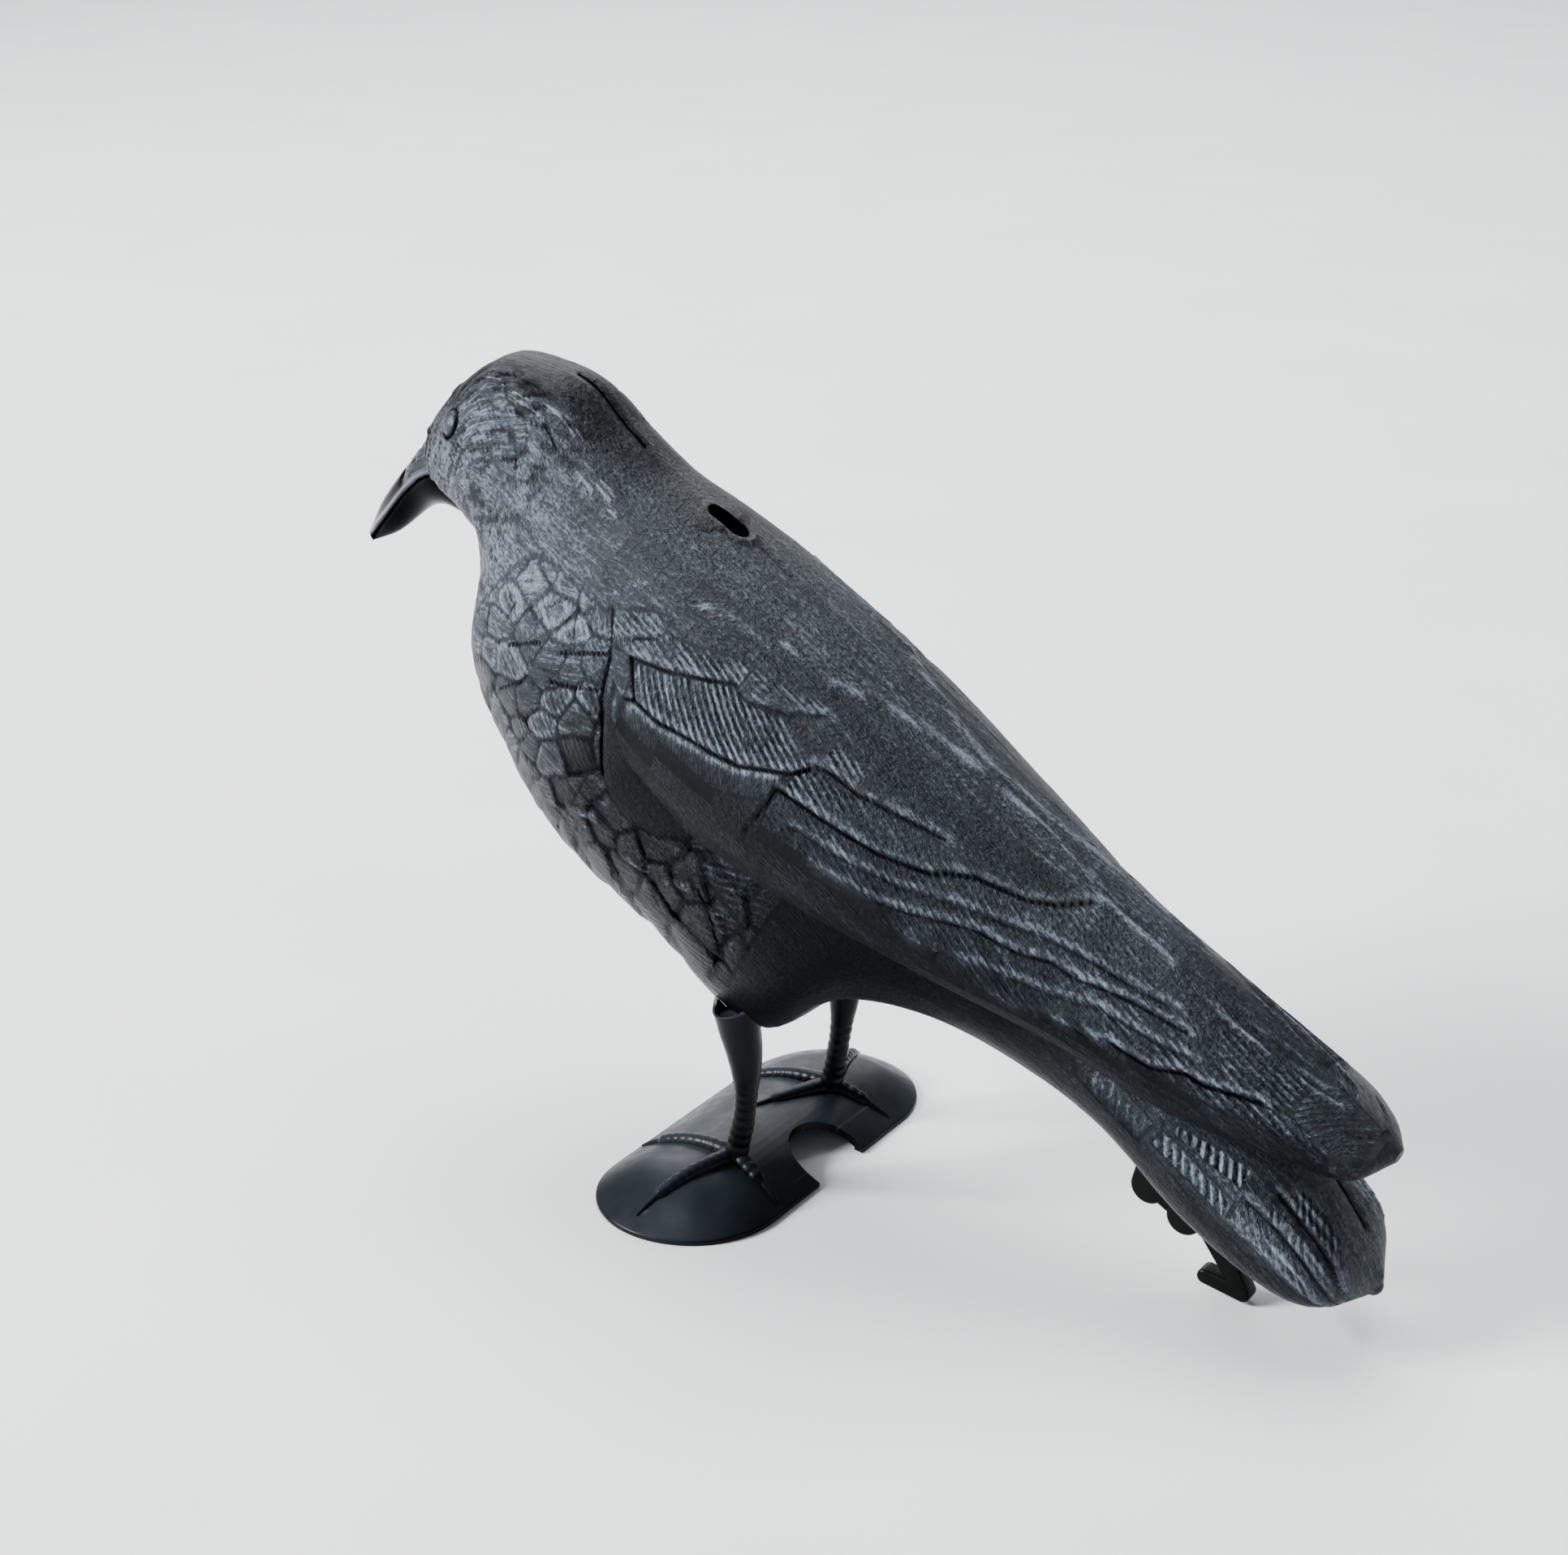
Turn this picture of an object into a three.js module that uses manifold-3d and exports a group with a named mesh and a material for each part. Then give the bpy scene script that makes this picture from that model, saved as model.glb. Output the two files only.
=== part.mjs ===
// Crow decoy: a hollow moulded bird with folded wings and a slot in its back. It stands on a second
// moulding, two legs on a domed and notched foot plate, and carries a small clip under its tail.
// Millimetres, +Z up. The beak points to -Y, the bird's left side is +X, the ground is Z = 0.
import * as THREE from 'three';
import { mergeVertices } from 'three/addons/utils/BufferGeometryUtils.js';
import loadManifold from 'manifold-3d';

const manifold = await loadManifold();
manifold.setup();

// Bird. The tables of its form are drawn for a bird 355 long, and u is the size of one of their units.
const birdLength = 355;
const u = birdLength / 355;
const wingFeatherStep = 1.5;
const tailFeatherStep = 1.3;
const breastFeatherStep = 1.3;
const eyeDiameter = 8.5;
const nubDiameter = 6;
const slotLength = 13;
const slotWidth = 7;
const slotDepth = 18;

// Foot plate, a thin dome with its hollow side down
const plateLength = 134;
const plateWidth = 59;
const plateEdge = 1.6;
const plateRise = 10;
const plateWall = 2.2;
const plateRim = 3.4;
const notchRadius = 13;
const notchSetBack = 4;

// Legs and toes
const legSpacing = 54;
const ankleSetBack = 8;
const legTopSetBack = 11.3;
const legTopSpread = 4;
const legTopWidth = 13.8;
const ankleWidth = 6.6;
const cupDepth = 2.5;
const toeWidth = 6;
const toeTipWidth = 2.6;

// Clip under the tail
const clipWidth = 7;
const clipBossDiameter = 11;
const clipArmThickness = 5.6;
const clipFingerThickness = 4.6;

// Gap between pieces that touch, and the size below which a facet is merged into the next one
const fitGap = 0.3;
const meshTolerance = 0.03;

const deg = Math.PI / 180;
const up = new THREE.Vector3(0, 0, 1);

// Stations of the lofted forms. In each row: where the top line passes (forward, up), where the under
// line passes (forward, up), the half width, the level of the widest point as a share of the height,
// and how square the section is above and below that level (2 is an ellipse).
const trunkStations = [
  [120, 205, 119, 204, 0.5, 0.5, 2, 2],
  [118, 215, 116, 194, 9.5, 0.5, 2, 2],
  [111.5, 224.5, 103.5, 190.5, 16.5, 0.5, 2, 2],
  [98, 236, 93.5, 183.5, 23.5, 0.5, 2, 2],
  [85, 242.4, 87, 177, 27.2, 0.5, 2, 2],
  [61, 237, 89.5, 160, 30.5, 0.48, 2, 2],
  [45, 223.5, 94.3, 142, 37, 0.48, 2, 2],
  [28, 210.5, 84.5, 123.5, 43, 0.47, 2, 2],
  [-4, 190, 59.5, 95.5, 51.8, 0.48, 2, 2],
  [-40, 165, 24, 72.5, 52, 0.5, 2, 2],
  [-73, 142, -10, 48.4, 45, 0.5, 2, 2],
  [-98, 120, -38, 66, 36, 0.5, 2, 2],
  [-118, 103, -75, 66.5, 30, 0.5, 2, 2],
  [-145, 80, -118, 52.5, 25.5, 0.55, 2.2, 2.6],
  [-167, 61, -152, 29, 27, 0.6, 2.1, 3],
  [-187, 44, -180, 16.3, 27.3, 0.6, 2, 3],
  [-197.5, 33, -194.5, 14.3, 20, 0.6, 2, 3],
  [-204, 22, -203.5, 17, 1, 0.5, 2, 2],
];
const wingStations = [
  [40, 206.5, 46, 190, 24, 0.4, 2, 2],
  [26, 206, 34, 150, 41, 0.35, 2, 2],
  [0, 193.5, 17, 124, 51.5, 0.34, 2, 2.2],
  [-45, 165.5, -28, 106, 52.3, 0.3, 2, 2.6],
  [-85, 138.5, -70, 92, 44.5, 0.28, 1.85, 2.8],
  [-124, 115, -112, 76, 33, 0.28, 1.62, 2.8],
  [-156, 96, -148, 63, 29, 0.3, 1.65, 2.8],
  [-188, 74.5, -185, 56, 23.4, 0.4, 1.85, 2.6],
  [-199, 66.5, -198, 54, 16, 0.4, 2, 2.4],
  [-205.5, 61, -205, 58, 3, 0.5, 2, 2],
];
const beakStations = [
  [149.5, 175.5, 148, 173, 0.4, 0.5, 2, 2],
  [140.5, 189.5, 137, 177.8, 5.2, 0.45, 1.9, 2],
  [125.5, 205.5, 123, 188, 9.3, 0.45, 2, 2],
  [112, 217, 112, 190.5, 13.3, 0.45, 2, 2],
];

// Smooth rise from 0 to 1 as x goes from a to b
function ease(a, b, x) {
  const k = THREE.MathUtils.clamp((x - a) / (b - a), 0, 1);
  return k * k * (3 - 2 * k);
}

// The form through a table of stations: point(s, turn) is on its skin, where s runs from 0 to 1 along
// the middle line and turn is the angle round the section, 0 at the top and 90 degrees on the left.
function makeForm(stations) {
  const middle = (row) => [(row[0] + row[2]) / 2, (row[1] + row[3]) / 2];
  const knots = [0];
  for (let i = 1; i < stations.length; i++) {
    const [f0, z0] = middle(stations[i - 1]);
    const [f1, z1] = middle(stations[i]);
    knots.push(knots[i - 1] + Math.hypot(f1 - f0, z1 - z0));
  }
  const length = knots.at(-1);
  const last = stations.length - 1;
  const slope = (i, c) => {
    const a = Math.max(i - 1, 0);
    const b = Math.min(i + 1, last);
    return (stations[b][c] - stations[a][c]) / (knots[b] - knots[a]);
  };
  const station = (s) => {
    const x = THREE.MathUtils.clamp(s, 0, 1) * length;
    let i = 0;
    while (i < last - 1 && knots[i + 1] < x) i++;
    const span = knots[i + 1] - knots[i];
    const k = (x - knots[i]) / span;
    return stations[i].map((value, c) => value * (1 + 2 * k) * (1 - k) ** 2
      + stations[i + 1][c] * k * k * (3 - 2 * k)
      + slope(i, c) * span * k * (1 - k) ** 2
      + slope(i + 1, c) * span * k * k * (k - 1));
  };
  const point = (s, turn) => {
    const [topF, topZ, underF, underZ, half, level, squareTop, squareUnder] = station(s);
    const c = Math.cos(turn);
    const power = 2 / (c >= 0 ? squareTop : squareUnder);
    const rise = Math.abs(c) ** power;
    const side = Math.sign(Math.sin(turn)) * Math.abs(Math.sin(turn)) ** power;
    const midF = underF + (topF - underF) * level;
    const midZ = underZ + (topZ - underZ) * level;
    const [endF, endZ] = c >= 0 ? [topF, topZ] : [underF, underZ];
    return new THREE.Vector3(
      Math.max(half, 0.01) * side * u,
      -(midF + (endF - midF) * rise) * u,
      (midZ + (endZ - midZ) * rise) * u,
    );
  };
  const normal = (s, turn) => {
    const d = 0.004;
    const along = point(Math.min(s + d, 1), turn).sub(point(Math.max(s - d, 0), turn));
    const round = point(s, turn + d).sub(point(s, turn - d));
    return round.cross(along).normalize();
  };
  return { point, normal };
}

// A closed skin from rings of points, each end closed by a fan round the ring's middle
function skin(rings) {
  const count = rings[0].length;
  const positions = rings.flat().flatMap((p) => [p.x, p.y, p.z]);
  const faces = [];
  for (let i = 0; i < rings.length - 1; i++) {
    for (let j = 0; j < count; j++) {
      const k = (j + 1) % count;
      const a = i * count + j;
      const b = i * count + k;
      faces.push(a, b, b + count, a, b + count, a + count);
    }
  }
  const cap = (ring, start, flip) => {
    const middle = ring.reduce((sum, p) => sum.add(p), new THREE.Vector3()).divideScalar(count);
    const centre = positions.length / 3;
    positions.push(middle.x, middle.y, middle.z);
    for (let j = 0; j < count; j++) {
      const k = (j + 1) % count;
      faces.push(centre, start + (flip ? k : j), start + (flip ? j : k));
    }
  };
  cap(rings[0], 0, true);
  cap(rings.at(-1), (rings.length - 1) * count, false);
  const geometry = new THREE.BufferGeometry();
  geometry.setAttribute('position', new THREE.Float32BufferAttribute(positions, 3));
  geometry.setIndex(faces);
  return geometry;
}

function toSolid(geometry) {
  const bare = geometry.clone();
  bare.deleteAttribute('normal');
  bare.deleteAttribute('uv');
  const merged = mergeVertices(bare, 1e-4);
  return new manifold.Manifold(new manifold.Mesh({
    numProp: 3,
    vertProperties: new Float32Array(merged.attributes.position.array),
    triVerts: new Uint32Array(merged.index.array),
  }));
}

function toGeometry(solid) {
  const mesh = solid.simplify(meshTolerance).getMesh();
  const geometry = new THREE.BufferGeometry();
  geometry.setAttribute('position', new THREE.BufferAttribute(mesh.vertProperties, 3));
  geometry.setIndex(new THREE.BufferAttribute(mesh.triVerts, 1));
  return geometry;
}

const join = (solids) => solids.reduce((whole, solid) => whole.add(solid));

// The skin of a form over a grid of rows and columns: place(i, j) gives s, turn and the relief height,
// and grow moves the whole skin out along its normals.
function formSkin(form, rows, columns, place, grow = 0) {
  const rings = [];
  for (let i = 0; i < rows; i++) {
    const ring = [];
    for (let j = 0; j < columns; j++) {
      const { s, turn, height } = place(i, j);
      const p = form.point(s, turn);
      ring.push(p.addScaledVector(form.normal(s, turn), height + grow));
    }
    rings.push(ring);
  }
  return skin(rings);
}

const trunk = makeForm(trunkStations);
const wings = makeForm(wingStations);
const beak = makeForm(beakStations);

// Rows of the trunk, as s, the zigzag that turns a row into a row of feather tips, and the height as a
// share of the breast feather step. The breast rows come in pairs: tips, then the skin below them.
function trunkRows() {
  const rows = [0, 0.006, 0.018, 0.032, 0.046, 0.062, 0.082, 0.104, 0.128, 0.15].map((s) => ({ s, zig: 0, high: 0 }));
  const firstTips = 0.18;
  const tipsPitch = 0.044;
  const tipRows = 8;
  for (let k = 0; k < tipRows; k++) {
    const s = firstTips + k * tipsPitch;
    const side = k % 2 ? -1 : 1;
    rows.push({ s, zig: side, high: 1 });
    rows.push({ s: s + 0.012, zig: side, high: 0 });
  }
  for (const s of [0.55, 0.585, 0.62, 0.655, 0.69, 0.725, 0.76, 0.8, 0.84, 0.88, 0.91, 0.935, 0.955, 0.972, 0.987, 1]) {
    rows.push({ s, zig: 0, high: 0 });
  }
  return rows;
}

const trunkColumns = 40;
const tailFeatherColumns = 3;

// Breast feathers lie over the front and the belly and die out towards the back; tail feathers are
// stepped ridges over the top and sides of the tail.
function trunkSkin(grow = 0) {
  const rows = trunkRows();
  return formSkin(trunk, rows.length, trunkColumns, (i, j) => {
    const { s, zig, high } = rows[i];
    const turn = j * 360 * deg / trunkColumns;
    const fromTop = Math.min(j, trunkColumns - j);
    const front = ease(5, 8, fromTop);
    const zigzag = zig * (fromTop % 2 ? 1 : -1) * 0.01;
    const breast = (high - 1) * front * breastFeatherStep * ease(0.1, 0.2, s) * (1 - ease(0.5, 0.54, s));
    const onTail = ease(0.74, 0.8, s) * (1 - ease(0.96, 1, s)) * (fromTop > 1 && fromTop < 14 ? 1 : 0);
    const rise = (fromTop % tailFeatherColumns) / (tailFeatherColumns - 1);
    const tail = onTail * tailFeatherStep * (rise - 1);
    return { s: s + zigzag * front, turn, height: breast + tail };
  }, grow);
}

// The long wing feathers lie in bands that sweep up the wing towards its tip: a band's edge is at a
// turn of edge - sweep * (s - 0.4). Each band rises towards its lower edge and drops to the next one.
const bandEdges = [30, 47, 58, 68, 77, 86, 96, 106, 116];
const sweep = 65;
const topColumns = 3;
const underColumns = 4;
const covertEnd = 0.35;

function wingColumns() {
  const columns = [];
  for (let k = 0; k < topColumns; k++) {
    columns.push({ anchor: 'top', share: k / topColumns, high: 0.8 });
  }
  for (let k = 0; k < bandEdges.length - 1; k++) {
    const width = bandEdges[k + 1] - bandEdges[k];
    columns.push({ anchor: 'band', edge: bandEdges[k] + 0.12 * width, high: 0 });
    columns.push({ anchor: 'band', edge: bandEdges[k] + 0.55 * width, high: 0.5 });
    columns.push({ anchor: 'band', edge: bandEdges[k + 1] - 0.04 * width, high: 1 });
  }
  for (let k = 1; k <= underColumns; k++) {
    columns.push({ anchor: 'under', share: k / underColumns, high: 0 });
  }
  return columns;
}

function wingRows() {
  const coverts = [0, 0.03, 0.06, 0.1, 0.14, 0.18, 0.22, 0.26, 0.3, covertEnd - 0.012];
  const feathers = [covertEnd + 0.004, 0.39, 0.44, 0.49, 0.54, 0.59, 0.64, 0.69, 0.74, 0.79, 0.84, 0.88, 0.915];
  return [...coverts, ...feathers, 0.943, 0.963, 0.978, 0.99, 1];
}

// Both wings in one form. The coverts over the shoulder are one broad plate that ends in a step.
function wingSkin(grow = 0) {
  const half = wingColumns();
  const mirrored = half.slice(1, -1).reverse();
  const rows = wingRows();
  const turnOf = (column, s) => {
    const shift = sweep * (s - 0.4);
    if (column.anchor === 'top') return column.share * (bandEdges[0] - Math.min(shift, 24));
    const banded = column.anchor === 'band' ? column.edge : bandEdges.at(-1);
    const turn = Math.max(banded - shift, (bandEdges[0] - 24) * banded / bandEdges[0] * 0.3 + 3);
    return column.anchor === 'band' ? turn : turn + column.share * (180 - turn);
  };
  return formSkin(wings, rows.length, half.length + mirrored.length, (i, j) => {
    const left = j < half.length;
    const column = left ? half[j] : mirrored[j - half.length];
    const s = rows[i];
    const turn = turnOf(column, s) * deg * (left ? 1 : -1);
    const fade = ease(0.08, 0.2, s) * (1 - ease(0.93, 0.985, s));
    const onCoverts = s < covertEnd;
    const banded = column.anchor === 'band';
    const high = onCoverts && banded ? 0.4 + 0.6 * column.high : column.high;
    return { s, turn, height: (high - 1) * fade * wingFeatherStep };
  }, grow);
}

// Beak with a ridge along each side where the halves of the bill meet
function beakSkin(grow = 0) {
  const rows = 8;
  const columns = 16;
  return formSkin(beak, rows, columns, (i, j) => {
    const s = i / (rows - 1);
    const gape = j % 8 === 4 ? 0.7 : 0;
    return { s, turn: j * 360 * deg / columns, height: gape * s * ease(0, 0.3, 1 - s) };
  }, grow);
}

// An eye is a low dome let into the side of the head
function eyeSolid(side) {
  const s = 0.066;
  const turn = side * 62 * deg;
  const ball = new THREE.SphereGeometry(eyeDiameter / 2, 12, 8);
  ball.rotateX(Math.PI / 2);
  ball.scale(1, 1, 0.55);
  const turned = new THREE.Quaternion().setFromUnitVectors(up, trunk.normal(s, turn));
  const place = trunk.point(s, turn);
  ball.applyQuaternion(turned);
  ball.translate(place.x, place.y, place.z);
  return toSolid(ball);
}

// A small nub closes the end of the tail
function tailNub() {
  const ball = new THREE.SphereGeometry(nubDiameter / 2, 10, 8);
  ball.translate(0, 201.2 * u, 18.3 * u);
  return toSolid(ball);
}

// The slot in the back: straight down, with half-round ends, on the middle line
const slotForward = 10.8 * u;
const slotTop = 198 * u;
function slotSolid() {
  const r = slotWidth / 2;
  const reach = slotLength / 2 - r;
  const outline = new THREE.Shape();
  outline.absarc(0, reach, r, 0, Math.PI, false);
  outline.absarc(0, -reach, r, Math.PI, 2 * Math.PI, false);
  const above = 2 * slotDepth;
  const cut = new THREE.ExtrudeGeometry(outline, { depth: slotDepth + above, bevelEnabled: false, curveSegments: 6 });
  cut.translate(0, -slotForward, slotTop - slotDepth);
  return toSolid(cut);
}

const birdSolid = (grow) => join([
  toSolid(trunkSkin(grow)),
  toSolid(wingSkin(grow)),
  toSolid(beakSkin(grow)),
]);

const crowBody = join([birdSolid(0), eyeSolid(1), eyeSolid(-1), tailNub()]).subtract(slotSolid());
const bodyWithGap = birdSolid(fitGap);

// Height of the plate's outer skin over a point of the ground
const plateHalf = plateWidth / 2;
const plateStraight = (plateLength - plateWidth) / 2;
function plateTop(x, y) {
  const across = Math.hypot(Math.max(Math.abs(x) - plateStraight, 0), y);
  const k = Math.min(across / plateHalf, 1);
  return plateEdge + plateRise * (1 - k * k);
}

// A ring of the plate's outline, set in from its edge
function plateRing(inset, z) {
  const r = plateHalf - inset;
  const arcSteps = 10;
  const ring = [];
  for (const side of [1, -1]) {
    for (let k = 0; k <= arcSteps; k++) {
      const a = (k / arcSteps - 0.5) * Math.PI + (side < 0 ? Math.PI : 0);
      ring.push(new THREE.Vector3(side * plateStraight + r * Math.cos(a), r * Math.sin(a), z));
    }
  }
  return ring;
}

// A dome of the plate's outline, from its flat foot to its ridge
function domeSolid(inset, foot, edge, rise) {
  const steps = 5;
  const reach = plateHalf - inset;
  const rings = [plateRing(inset, foot)];
  for (let k = 0; k <= steps; k++) {
    const out = Math.cos(k / steps * 88 * deg);
    rings.push(plateRing(inset + reach * (1 - out), edge + rise * (1 - out * out)));
  }
  return toSolid(skin(rings));
}

// A round bar through points, with its radius at each point and an oval stretch across X
function barSolid(points, radii, sides, stretch = 1) {
  const curve = new THREE.CatmullRomCurve3(points);
  const steps = radii.length - 1;
  const rings = radii.map((radius, i) => {
    const middle = curve.getPoint(i / steps);
    const along = curve.getTangent(i / steps);
    const across = Math.abs(along.z) > 0.8 ? new THREE.Vector3(1, 0, 0) : up.clone();
    const second = across.clone().cross(along).normalize();
    const first = along.clone().cross(second).normalize();
    return Array.from({ length: sides }, (_, j) => {
      const a = -j / sides * 2 * Math.PI;
      return middle.clone()
        .addScaledVector(first, radius * stretch * Math.cos(a))
        .addScaledVector(second, radius * Math.sin(a));
    });
  });
  return toSolid(skin(rings));
}

const ankleZ = plateTop(legSpacing / 2, ankleSetBack) + 2;
const bellyZ = 62 * u;

// A leg: thin and scaly at the ankle, full at the thigh, ending in an open cup that takes the belly
function legSolid(side) {
  const x = side * legSpacing / 2;
  const topY = legTopSetBack;
  const bow = 3;
  const middle = (ankleZ + bellyZ) / 2;
  const path = [
    new THREE.Vector3(x, ankleSetBack, ankleZ - 3),
    new THREE.Vector3(x, (ankleSetBack + topY) / 2 + bow, middle),
    new THREE.Vector3(x + side * legTopSpread, topY, bellyZ),
  ];
  const shares = [1.25, 1, 1.06, 0.98, 1.08, 1.35, 1.62, 1.85, 2.02, 2.2];
  const widest = shares.at(-1);
  const growth = (legTopWidth / ankleWidth - 1) / (widest - 1);
  const radii = shares.map((share) => ankleWidth / 2 * (1 + (share - 1) * growth));
  return barSolid(path, radii, 12, 1);
}

function cupSolid(side) {
  const wall = 1.6;
  const r = legTopWidth / 2 - wall;
  const dish = new THREE.CylinderGeometry(r, r - 1, cupDepth * 2, 12);
  dish.rotateX(Math.PI / 2);
  dish.translate(side * (legSpacing / 2 + legTopSpread), legTopSetBack, bellyZ);
  return toSolid(dish);
}

// A toe follows the dome from the ankle to its claw at the rim; its scales are a slight swelling and
// waisting of the bar
function toeSolid(side, tipX, tipY) {
  const steps = 6;
  const start = new THREE.Vector2(side * legSpacing / 2, ankleSetBack);
  const tip = new THREE.Vector2(side * tipX, tipY);
  const points = [];
  const radii = [];
  for (let k = 0; k <= steps; k++) {
    const t = k / steps;
    const place = start.clone().lerp(tip, t);
    const radius = THREE.MathUtils.lerp(toeWidth, toeTipWidth, t) / 2 * (k % 2 ? 1.12 : 0.95);
    const lift = THREE.MathUtils.lerp(1.4, 0, t);
    points.push(new THREE.Vector3(place.x, place.y, plateTop(place.x, place.y) + lift - 0.3));
    radii.push(radius);
  }
  return barSolid(points, radii, 7);
}

function legsAndBase() {
  const toeTips = [
    [legSpacing / 2 - 2, -(plateHalf - 1.6)],
    [plateLength / 2 - 4.5, -3],
    [1, -5],
    [legSpacing / 2 + 5, plateHalf - 2.4],
  ];
  const outer = [domeSolid(0, 0, plateEdge, plateRise)];
  for (const side of [1, -1]) {
    outer.push(legSolid(side));
    for (const [x, y] of toeTips) {
      outer.push(toeSolid(side, x, y));
    }
  }
  const hollow = domeSolid(plateRim, -1, plateEdge - 0.6, plateRise - plateWall + 0.6);
  const notch = new THREE.CylinderGeometry(notchRadius, notchRadius, 2 * plateWidth, 24);
  notch.rotateX(Math.PI / 2);
  notch.translate(0, plateHalf - notchSetBack, 0);
  const whole = join(outer).subtract(hollow).subtract(toSolid(notch));
  return whole.subtract(cupSolid(1)).subtract(cupSolid(-1)).subtract(bodyWithGap);
}

// A flat bar of the clip between two places (forward, up), round at both ends, with its thickness at
// each, centred on the middle plane
function clipBar(from, to, thick, thickEnd, width) {
  const a = new THREE.Vector2(-from[0] * u, from[1] * u);
  const b = new THREE.Vector2(-to[0] * u, to[1] * u);
  const lean = b.clone().sub(a).angle();
  const outline = new THREE.Shape();
  outline.absarc(a.x, a.y, thick / 2, lean + Math.PI / 2, lean + 3 * Math.PI / 2, false);
  outline.absarc(b.x, b.y, thickEnd / 2, lean - Math.PI / 2, lean + Math.PI / 2, false);
  const bar = new THREE.ExtrudeGeometry(outline, { depth: width, bevelEnabled: false, curveSegments: 8 });
  bar.translate(0, 0, -width / 2);
  bar.rotateY(Math.PI / 2);
  bar.rotateX(Math.PI / 2);
  return toSolid(bar);
}

// The clip: two round bosses on a web under the tail, an arm down from the second boss, and a finger
// bent back forwards from the arm's end
function tailHook() {
  const firstBoss = [-134, 29];
  const secondBoss = [-145.5, 22.5];
  const armTop = [-152, 23.5];
  const bend = [-164.3, 3.3];
  const fingerTip = [-152.5, 5.4];
  const root = 16;
  const bars = [
    clipBar(firstBoss, [firstBoss[0] - 4, firstBoss[1] + root], clipBossDiameter, clipBossDiameter, clipWidth),
    clipBar(secondBoss, [secondBoss[0] - 6, secondBoss[1] + root], clipBossDiameter, clipBossDiameter, clipWidth),
    clipBar(firstBoss, secondBoss, clipArmThickness, clipArmThickness, clipWidth - 1),
    clipBar(armTop, bend, clipArmThickness + 3, clipFingerThickness, clipWidth - 1),
    clipBar(bend, fingerTip, clipFingerThickness, clipFingerThickness, clipWidth - 1),
  ];
  return join(bars).subtract(bodyWithGap);
}

function part(name, solid, colour, roughness) {
  const material = new THREE.MeshStandardMaterial({ color: colour, roughness, metalness: 0 });
  const mesh = new THREE.Mesh(toGeometry(solid), material);
  mesh.name = name;
  return mesh;
}

const crow = new THREE.Group();
crow.add(part('crow_body', crowBody, 0x3a3f46, 0.55));
crow.add(part('legs_and_base', legsAndBase(), 0x202327, 0.35));
crow.add(part('tail_hook', tailHook(), 0x17191b, 0.3));

// The origin is on the ground under the middle of the whole object's length
const bounds = new THREE.Box3().setFromObject(crow);
crow.position.y = -(bounds.min.y + bounds.max.y) / 2;

export default crow;
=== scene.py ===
"""The looks of the crow decoy: a blow-moulded crow with feather relief, its legs and foot plate, and
the clip under its tail. Shapes are worked out in millimetres in the bird's own frame (forward, up,
side) and put into Blender in metres."""

import bpy
import numpy as np
from mathutils import Matrix, Vector


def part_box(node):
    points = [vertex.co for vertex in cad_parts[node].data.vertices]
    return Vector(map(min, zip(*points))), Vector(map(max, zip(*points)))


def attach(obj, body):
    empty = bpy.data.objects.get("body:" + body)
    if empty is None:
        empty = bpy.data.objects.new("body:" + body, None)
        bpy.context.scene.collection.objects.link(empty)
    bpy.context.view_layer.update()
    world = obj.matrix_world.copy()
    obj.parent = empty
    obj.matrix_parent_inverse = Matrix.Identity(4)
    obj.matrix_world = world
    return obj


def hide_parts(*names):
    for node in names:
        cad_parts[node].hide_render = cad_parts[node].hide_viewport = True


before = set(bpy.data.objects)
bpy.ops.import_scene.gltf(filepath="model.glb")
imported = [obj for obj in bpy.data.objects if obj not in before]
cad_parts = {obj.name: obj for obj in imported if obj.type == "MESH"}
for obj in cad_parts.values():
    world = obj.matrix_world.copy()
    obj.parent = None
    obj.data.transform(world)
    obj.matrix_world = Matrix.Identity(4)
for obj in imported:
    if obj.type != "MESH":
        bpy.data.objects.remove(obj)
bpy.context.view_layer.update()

MM = 0.001
BODY = "root"
# The shapes' own zero lies under the bird and the solids' in the middle of the plate. SHIFT, in mm along
# Y, is what parts them, read from the solid's beak tip
BEAK_TIP = -149.5
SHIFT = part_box("crow_body")[0][1] / MM - BEAK_TIP

# Stations of the lofted forms, in mm: top line (forward, up), under line (forward, up), half width, level
# of the widest point, squareness of the section above and below it
TRUNK = [
    [120, 205, 119, 204, 0.5, 0.5, 2, 2],
    [118, 215, 116, 194, 9.5, 0.5, 2, 2],
    [111.5, 224.5, 103.5, 190.5, 16.5, 0.5, 2, 2],
    [98, 236, 93.5, 183.5, 23.5, 0.5, 2, 2],
    [85, 242.4, 87, 177, 27.2, 0.5, 2, 2],
    [61, 237, 89.5, 160, 30.5, 0.48, 2, 2],
    [45, 223.5, 94.3, 142, 37, 0.48, 2, 2],
    [28, 210.5, 84.5, 123.5, 43, 0.47, 2, 2],
    [-4, 190, 59.5, 95.5, 51.8, 0.48, 2, 2],
    [-40, 165, 24, 72.5, 52, 0.5, 2, 2],
    [-73, 142, -10, 48.4, 45, 0.5, 2, 2],
    [-98, 120, -38, 66, 36, 0.5, 2, 2],
    [-118, 103, -75, 66.5, 30, 0.5, 2, 2],
    [-145, 80, -118, 52.5, 25.5, 0.55, 2.2, 2.6],
    [-167, 61, -152, 29, 27, 0.6, 2.1, 3],
    [-187, 44, -180, 16.3, 27.3, 0.6, 2, 3],
    [-197.5, 33, -194.5, 14.3, 20, 0.6, 2, 3],
    [-204, 22, -203.5, 17, 1, 0.5, 2, 2],
]
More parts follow.
